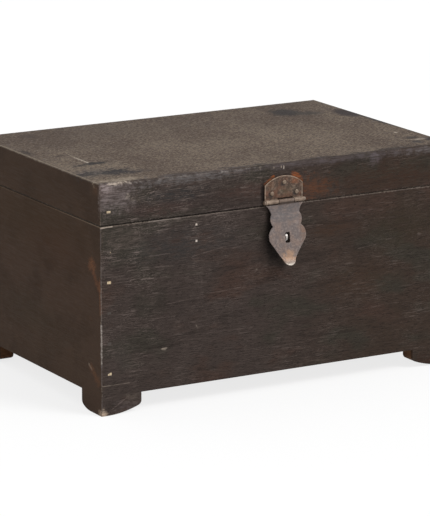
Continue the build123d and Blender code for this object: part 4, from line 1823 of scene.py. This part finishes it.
@dataclass
class Lid:
    """The top board and the rails under it, with their pegs and nails.

    Attributes:
        rails: the rails, each with the way its grain runs.
        seed: which grain the top board and the first rail have.
        rail_seed: how far each rail's grain is from the last one's.
        rim_marks: the marks all round.
        top_marks: the marks on the top board alone.
        under_stain: the stain over some pegs.
    """

    rails: tuple[tuple[str, GrainAxis], ...] = (
        ("lid_front_rail", GrainAxis.ALONG),
        ("lid_back_rail", GrainAxis.ALONG),
        ("lid_left_rail", GrainAxis.ACROSS),
        ("lid_right_rail", GrainAxis.ACROSS),
    )
    seed: float = 31.7
    rail_seed: float = 7.9
    rim_marks: tuple[Mark, ...] = (
        *stains(on_front, ((-90, 222), (95, 8, 22), (44, 35, 33), 0.5, 1.2)),
        *stains(on_left, ((10, 232), (6, 170, 40), (52, 38, 25), 0.5, 1.0, 0.1, False)),
        *stains(
            on_front,
            ((-150, 219), (45, 8, 9), (72, 52, 48), 0.45, 2.2),
            ((-132, 231), (50, 8, 11), (42, 45, 46), 0.6, 2.0),
            # A pale grey patch at the lid front's left: worn haze, with a painted sheen.
            ((-204, 238), (34, 8, 24), (120, 109, 107), 0.8, 2.8),
            ((-30, 226), (60, 8, 12), (72, 50, 42), 0.5, 1.4),
            # Painted highlight: a paler band along the rounded upper front edge of the lid.
            ((80, 249), (190, 5, 5.5), (84, 76, 77), 0.8, 2.2),
            ((190, 247), (40, 5, 6), (104, 98, 97), 0.6, 2.6),
            ((-110, 248), (80, 5, 7), (104, 100, 99), 0.75, 3.0),
            ((118, 243), (9, 5, 10), (108, 98, 102), 0.5, 2.6),
            ((40, 220), (34, 8, 17), (94, 59, 40), 0.75, 2.8),
            ((135, 222), (85, 8, 20), (59, 42, 33), 0.8, 2.0),
        ),
        *lines(
            on_front,
            ((-19.8, 230), (-9.5, 238), 2.5, (142, 80, 42), 0.8, 2.0),
            ((15, 238.8), (23, 235.2), 3.0, (152, 84, 45), 0.8, 2.2),
            ((24.4, 234), (27, 226), 2.8, (124, 72, 42), 0.6, 2.2),
        ),
        # Painted shadow on the lid's front at the left of the hasp leaf.
        *stains(on_front, ((-22.5, 221), (4, 6, 17), SHADE, 0.8, 0.3, 0.3, False)),
        *lines(on_front, ((-190, 250.8), (-20, 250.8), 1.8, (140, 131, 124), 0.8, 3.4)),
        *stains(
            on_front,
            ((-197, 251), (15, 7, 2.2), (200, 184, 168), 0.95, 3.0),
            ((-214, 247), (9, 7, 8), (154, 140, 138), 0.65, 2.6),
            ((-182, 233), (4, 5, 3), PALE, 0.5, 4.4),
            ((-187, 236.5), (4, 5, 3), PALE, 0.4, 4.4),
            ((-174, 231), (4, 5, 3), PALE, 0.3, 4.4),
            ((-26, 249), (2.0, 4, 1.8), PALE, 0.9, 1.0),
            ((-9, 247.6), (1.6, 4, 1.4), PALE, 0.7, 1.0),
        ),
        *lines(
            on_front,
            ((0.6, 250.4), (0.2, 247), 0.7, PALE, 0.8, 1.6, False),
            ((3.8, 251), (3.4, 245.4), 0.8, (176, 164, 152), 0.9, 1.4, False),
            # SEAM_BLACK: a near-black line along the lid's lower edge, where it meets the body, on
            # its front here and on its left below.
            ((-220, 207.0), (20, 207.0), 1.2, SEAM_BLACK, 1.0, 0.8, False),
            ((20, 207.0), (220, 207.0), 1.0, SEAM_BLACK, 0.7, 1.2, False),
        ),
        *lines(on_left, ((-140, 206.9), (150, 206.9), 0.9, SEAM_BLACK, 0.9, 0.8, False)),
        *stains(on_left, ((-131, 244), (6, 9, 8), (88, 62, 44), 0.5, 2.0)),
    )
    top_marks: tuple[Mark, ...] = (
        *stains(
            on_top,
            ((-85, 108), (120, 52, 8), (60, 49, 43), 0.3, 1.0, 0.1, False),
            ((150, 101), (21, 24, 8), (46, 40, 38), 1.0, 1.4, 0.5, False),
            ((172, 84), (22, 15, 8), (56, 50, 46), 0.9, 2.0, 0.2, False),
            ((211, 64), (16, 30, 8), (50, 42, 41), 1.0, 1.4, 0.5, False),
            ((217, 10), (5, 44, 8), (46, 39, 39), 0.9, 2.4, 0.2, False),
            ((197, -93), (11, 7, 8), (50, 44, 43), 0.9, 2.0, 0.3, False),
            ((191, -115), (9, 9, 8), (52, 46, 45), 0.9, 2.0, 0.3, False),
            ((211, -108), (8, 12, 8), (46, 40, 40), 0.95, 2.0, 0.3, False),
            ((200, -104), (12, 5, 8), (152, 142, 130), 0.8, 2.4, 0.1, False),
            ((-169, 125), (12, 16, 8), (58, 48, 43), 0.7, 1.8, 0.1, False),
            ((-212, 46), (6, 22, 8), (46, 38, 35), 0.9, 3.4, 0.1, False),
            ((-186, 12), (12, 4, 8), (42, 34, 30), 0.9, 2.2, 0.1, False),
            ((-194, -44), (10, 6, 8), (38, 35, 35), 0.9, 3.0, 0.1, False),
            ((-173, -41), (19, 9, 8), (34, 31, 31), 1.0, 2.4, 0.2, False),
            ((-192, -84), (30, 24, 8), (70, 68, 68), 0.8, 2.4),
            ((-175, -90), (24, 17, 8), (36, 32, 33), 1.0, 3.2, 0.2, False),
            ((-208, -88), (14, 18, 8), (40, 36, 36), 0.95, 3.4, 0.1, False),
            ((-158, -99), (22, 10, 8), (42, 37, 38), 0.85, 3.6, 0.1, False),
            ((-190, -128), (36, 10, 6), (166, 152, 134), 0.8, 3.0),
        ),
        *lines(
            on_top,
            ((-175.1, 24), (-178.6, -3), 0.8, (150, 138, 124), 0.6, 3.6, False),
            ((-178.6, -3), (-178.1, -34), 1.3, (182, 172, 158), 0.85, 3.0, False),
        ),
        *stains(on_top, ((198.3, -59.5), (2.4, 2.4, 4), (206, 194, 178), 1.0, 0.3, 0.5)),
        *lines(on_top, ((-218.6, 150), (-218.6, -135), 1.6, (146, 134, 118), 0.8, 2.6)),
    )
    under_stain: tuple[Mark, ...] = (
        *stains(on_front, ((-210, 218.3), (9, 9, 2.6), (76, 66, 61), 0.85, 0.3, 0.6, False)),
    )

    def build(self) -> None:
        """Dresses the boards and what holds them."""
        around = box_around("lid_top_board", *(name for name, _ in self.rails))
        for order, (name, grain) in enumerate(self.rails):
            seed = self.seed + self.rail_seed * order
            marks = self.rim_marks if name != "lid_back_rail" else ()
            StainedWood(name, grain, seed, around, marks).dress(node_of(name))
            log.info("%s: stained wood", name)
        top = DustyWood(
            "lid_top_board",
            GrainAxis.ALONG,
            self.seed,
            around,
            marks=(*self.rim_marks, *self.top_marks),
            front_edge=FRONT,
        )
        top.dress(node_of("lid_top_board"))
        log.info("lid_top_board: dusty wood")
        Bamboo("lid_pegs", self.under_stain).dress(node_of("lid_corner_pegs"))
        log.info("lid_corner_pegs: bamboo")
        OldIron("lid_nails", Iron.CUT_NAIL).dress(node_of("lid_nails"))
        log.info("lid_nails: dark iron")


@dataclass
class BackHinge:
    """One of the two hinges at the back.

    Attributes:
        side: left or right.
        seed: which dents its leaves have.
    """

    side: str
    seed: float

    def build(self) -> None:
        """Makes both leaves and dresses them and the pin."""
        name = f"{self.side}_hinge"
        leaves = []
        for part, body in (("lower", "chest"), ("upper", "lid")):
            node = f"{name}_{part}_leaf"
            mesh = Forging(seed=self.seed, rounds=2).forge(node)
            leaves.append(new_piece(f"{node}_forged", mesh, body, [node]))
        OldIron(name, Iron.HINGE, edge_share=0.6, metal=0.15).dress(*leaves)
        OldIron(f"{name}_pin", Iron.PIN).dress(node_of(f"{name}_pin"))
        log.info("%s_pin: iron", name)


@dataclass
class BackNails:
    """The nails of both back hinges.

    Attributes:
        lower_seed: how the heads in the lower leaves are beaten.
        upper_seed: how the heads in the upper leaves are beaten.
    """

    lower_seed: int = 7
    upper_seed: int = 9

    def build(self) -> None:
        """Makes and dresses the nails of the lower and the upper leaves."""
        lower = DomeNails("hinge_lower_nails", "chest", Facing.BACK, self.lower_seed).build()
        upper = DomeNails("hinge_upper_nails", "lid", Facing.BACK, self.upper_seed).build()
        dome_iron("hinge_nails").dress(lower, upper)


@dataclass
class Hasp:
    """The hasp: a leaf nailed to the lid, the plate that hangs from it, their pin and the staple.

    Attributes:
        nail_seed: how the heads of the leaf's nails are beaten.
        nail_shadow: the colour of the painted shadow below the left of each of the leaf's nails.
        nail_shadow_reach: how far it goes each way.
        nail_shadow_offset: how far left of and below a nail it lies.
        leaf_marks: the marks on the leaf.
        plate_marks: the marks on the plate.
    """

    nail_seed: int = 5
    nail_shadow: Colour = Colour(34, 24, 18)
    nail_shadow_reach: Point = metres(4, 8, 4)
    nail_shadow_offset: float = 1.1 * MM
    leaf_marks: tuple[Mark, ...] = (
        *stains(
            on_front,
            ((18, 232), (8, 8, 6), (138, 78, 40), 0.6, 1.8),
            ((-13, 229), (7, 8, 7), (116, 74, 42), 0.5, 1.8),
            ((5, 221), (12, 8, 7), (74, 62, 42), 0.6, 1.8),
        ),
        *stains(
            metres,
            ((2.5, -144, 210.5), (30, 6, 3.6), (104, 85, 70), 0.8, 2.4, 0.4, False),
            # Painted shade on the underside of the knuckles.
            ((2.5, -144, 208.4), (30, 6, 2.2), (62, 46, 36), 0.85, 0.8, 0.4, False),
        ),
    )
    plate_marks: tuple[Mark, ...] = (
        *stains(
            metres,
            ((2.5, -145, 199), (30, 14, 17), (91, 85, 85), 0.9, 1.0, 0.5),
            ((23, -148, 178), (7, 12, 24), (126, 96, 78), 0.7, 1.4),
            # Warm tan above the tip's flare: rust, lightened as a painted highlight.
            ((2.5, -155, 150), (13, 14, 9), (164, 130, 104), 0.85, 2.6, 0.1, False),
            ((3, -156, 142), (12, 12, 6), (142, 128, 118), 0.8, 2.6, 0.4, False),
            # Painted highlight on the tip's pale curled lower edge.
            ((2.5, -158, 142.6), (9, 6, 2.4), (196, 186, 174), 0.8, 2.4, 0.2, False),
            ((2.5, -144, 210.5), (30, 6, 3.8), (104, 85, 70), 0.8, 2.4, 0.4, False),
            # Painted shade on the underside of the knuckle.
            ((2.5, -144, 208.4), (30, 6, 2.2), (62, 48, 40), 0.85, 0.8, 0.4, False),
        ),
    )

    def build(self) -> None:
        """Makes the forged pieces and dresses them."""
        self._leaf()
        self._plate()
        nails = DomeNails("hasp_leaf_nails", "lid", Facing.FRONT, self.nail_seed).build()
        dome_iron("hasp_leaf_nails").dress(nails)
        OldIron("hasp_pin", Iron.PIN).dress(node_of("hasp_pin"))
        log.info("hasp_pin: iron")
        self._staple()

    def _leaf(self) -> None:
        """Makes the leaf with its raised rim and two knuckles."""
        iron = LeafIron(
            "hasp_leaf",
            Iron.LEAF,
            rust_share=0.7,
            edge_share=0.95,
            metal=0.12,
            marks=(*self.leaf_marks, *self._nail_shadows()),
            wood_face=FRONT,
        )
        mesh = Forging(seed=2.0, rounds=1, dent=0.08 * MM).forge("hasp_leaf")
        iron.dress(new_piece("hasp_leaf_forged", mesh, "lid", ["hasp_leaf"]))

    def _nail_shadows(self) -> list[Stain]:
        """The painted shadows of the leaf's nail heads, below the left of each nail.

        Returns:
            A stain for each nail.
        """
        rings = []
        for low, high in islands("hasp_leaf_nails"):
            x = (low.x + high.x) / 2 - self.nail_shadow_offset
            z = (low.z + high.z) / 2 - self.nail_shadow_offset
            # Painted shadow of one nail head, below and left of it.
            ring = Stain(
                (x, FRONT, z),
                self.nail_shadow_reach,
                self.nail_shadow,
                strength=0.85,
                ragged=0.6,
                full=0.5,
                streaky=False,
            )
            rings.append(ring)
        return rings

    def _plate(self) -> None:
        """Makes the shaped plate with its knuckle and slot."""
        iron = OldIron(
            "hasp_plate",
            Iron.PLATE,
            rust_share=0.55,
            edge_share=0.6,
            pit_share=0.45,
            marks=self.plate_marks,
        )
        mesh = Forging(seed=1.0).forge("hasp_plate")
        iron.dress(new_piece("hasp_plate_forged", mesh, "hasp", ["hasp_plate"]))

    def _staple(self) -> None:
        """Dresses the bent wire staple."""
        iron = OldIron(
            "hasp_staple", Iron.STAPLE, rust_share=0.2, metal=0.6, roughness=0.4, pit_share=0.2
        )
        iron.dress(node_of("hasp_staple"))
        log.info("hasp_staple: bright worn iron")


# The studio


@dataclass
class Studio:
    """A pale floor, soft light and white all round.

    Attributes:
        floor_size: how long each side of the floor is, in metres.
        floor_tone: how pale it is, from 0 to 1.
        floor_roughness: its roughness.
        floor_light: how bright it looks in itself.
        floor_glow: how much of that shows, beside what the lamp lights.
        sky: how strongly the world lights the chest.
        sun: how strong the lamp is.
        sun_angle: how wide it is in degrees, which makes its shadows soft.
        sun_from: the way it comes from.
    """

    floor_size: float = 12.0
    floor_tone: float = 0.88
    floor_roughness: float = 0.9
    floor_light: float = 1.05
    floor_glow: float = 0.75
    sky: float = 0.66
    sun: float = 1.60
    sun_angle: float = 24.0
    sun_from: Point = (0.45, -0.62, 0.80)

    WHITE = (1.0, 1.0, 1.0, 1.0)

    def build(self) -> None:
        """Makes the floor, the lamp and the world."""
        self._floor()
        self._sun()
        self._world()

    @staticmethod
    def _seen(wires: Wiring) -> Socket:
        """Tells what is looked at from what gives light.

        Args:
            wires: adds nodes to the material or the world.

        Returns:
            The socket that gives 1 where the camera, a reflection or glass looks, and 0 for light.
        """
        path = wires.node("ShaderNodeLightPath")
        camera, mirror = path.outputs["Is Camera Ray"], path.outputs["Is Glossy Ray"]
        looked = wires.math("MAXIMUM", camera, mirror)
        return wires.math("MAXIMUM", looked, path.outputs["Is Transmission Ray"])

    def _floor(self) -> None:
        """A white floor that keeps a soft shadow."""
        mesh = bpy.data.meshes.new("floor")
        half = self.floor_size / 2
        corners = [(-half, -half, 0), (half, -half, 0), (half, half, 0), (-half, half, 0)]
        mesh.from_pydata(corners, [], [(0, 1, 2, 3)])
        floor = bpy.data.objects.new("floor", mesh)
        bpy.context.scene.collection.objects.link(floor)
        made = bpy.data.materials.new("floor")
        made.use_nodes = True
        wires = Wiring(made.node_tree)
        shader = made.node_tree.nodes["Principled BSDF"]
        shader.inputs["Base Color"].default_value = (*[self.floor_tone] * 3, 1.0)
        shader.inputs["Roughness"].default_value = self.floor_roughness
        shader.inputs["Specular IOR Level"].default_value = 0.0
        glow = wires.node("ShaderNodeEmission")
        glow.inputs["Strength"].default_value = self.floor_light
        mix = wires.node("ShaderNodeMixShader")
        share = wires.math("MULTIPLY", self._seen(wires), self.floor_glow)
        for socket, source in zip(mix.inputs, (share, shader.outputs[0], glow.outputs[0])):
            wires.feed(socket, source)
        wires.feed(made.node_tree.nodes["Material Output"].inputs["Surface"], mix.outputs[0])
        mesh.materials.append(made)

    def _sun(self) -> None:
        """One large soft lamp, high at the front right."""
        lamp = bpy.data.lights.new("lamp", "SUN")
        lamp.energy = self.sun
        lamp.angle = math.radians(self.sun_angle)
        holder = bpy.data.objects.new("lamp", lamp)
        holder.rotation_euler = Vector(self.sun_from).to_track_quat("Z", "Y").to_euler()
        bpy.context.scene.collection.objects.link(holder)

    def _world(self) -> None:
        """White light from all round; the camera and reflections see plain white."""
        world = bpy.data.worlds.new("studio")
        world.use_nodes = True
        bpy.context.scene.world = world
        wires = Wiring(world.node_tree)
        back = world.node_tree.nodes["Background"]
        back.inputs["Color"].default_value = self.WHITE
        strength = wires.ramp(self._seen(wires), Step(0.0, 1.0, self.sky, 1.0))
        wires.feed(back.inputs["Strength"], strength)


@dataclass
class Viewpoint:
    """The camera, at the left of the front and a little above the lid.

    Attributes:
        position: where it stands, in metres.
        yaw: how far it is turned to the left in degrees, below 0 to the right.
        pitch: how far it is raised from looking straight down, in degrees.
        lens: its focal length in millimetres.
        sensor: its sensor's width in millimetres.
        reach: how far it sees, in metres.
    """

    position: Point = (-1.82609, -3.18567, 1.00051)
    yaw: float = -29.806
    pitch: float = 76.479
    lens: float = 235.73
    sensor: float = 36.0
    reach: float = 50.0

    def build(self) -> None:
        """Makes the camera and gives it to the scene."""
        camera = bpy.data.cameras.new("camera")
        camera.lens = self.lens
        camera.sensor_width = self.sensor
        camera.clip_end = self.reach
        holder = bpy.data.objects.new("camera", camera)
        holder.location = self.position
        holder.rotation_euler = Euler((math.radians(self.pitch), 0.0, math.radians(self.yaw)))
        bpy.context.scene.collection.objects.link(holder)
        bpy.context.scene.camera = holder


def main() -> None:
    """Builds everything in order."""
    logging.basicConfig(level=logging.INFO, format="%(name)s: %(message)s")
    bpy.context.scene.view_settings.view_transform = "Standard"
    hinges = (BackHinge("left", seed=3.0), BackHinge("right", seed=4.0), BackNails())
    for part in (Viewpoint(), Studio(), Carcass(), Till(), Lid(), *hinges, Hasp()):
        part.build()


if __name__ == "__main__":
    main()
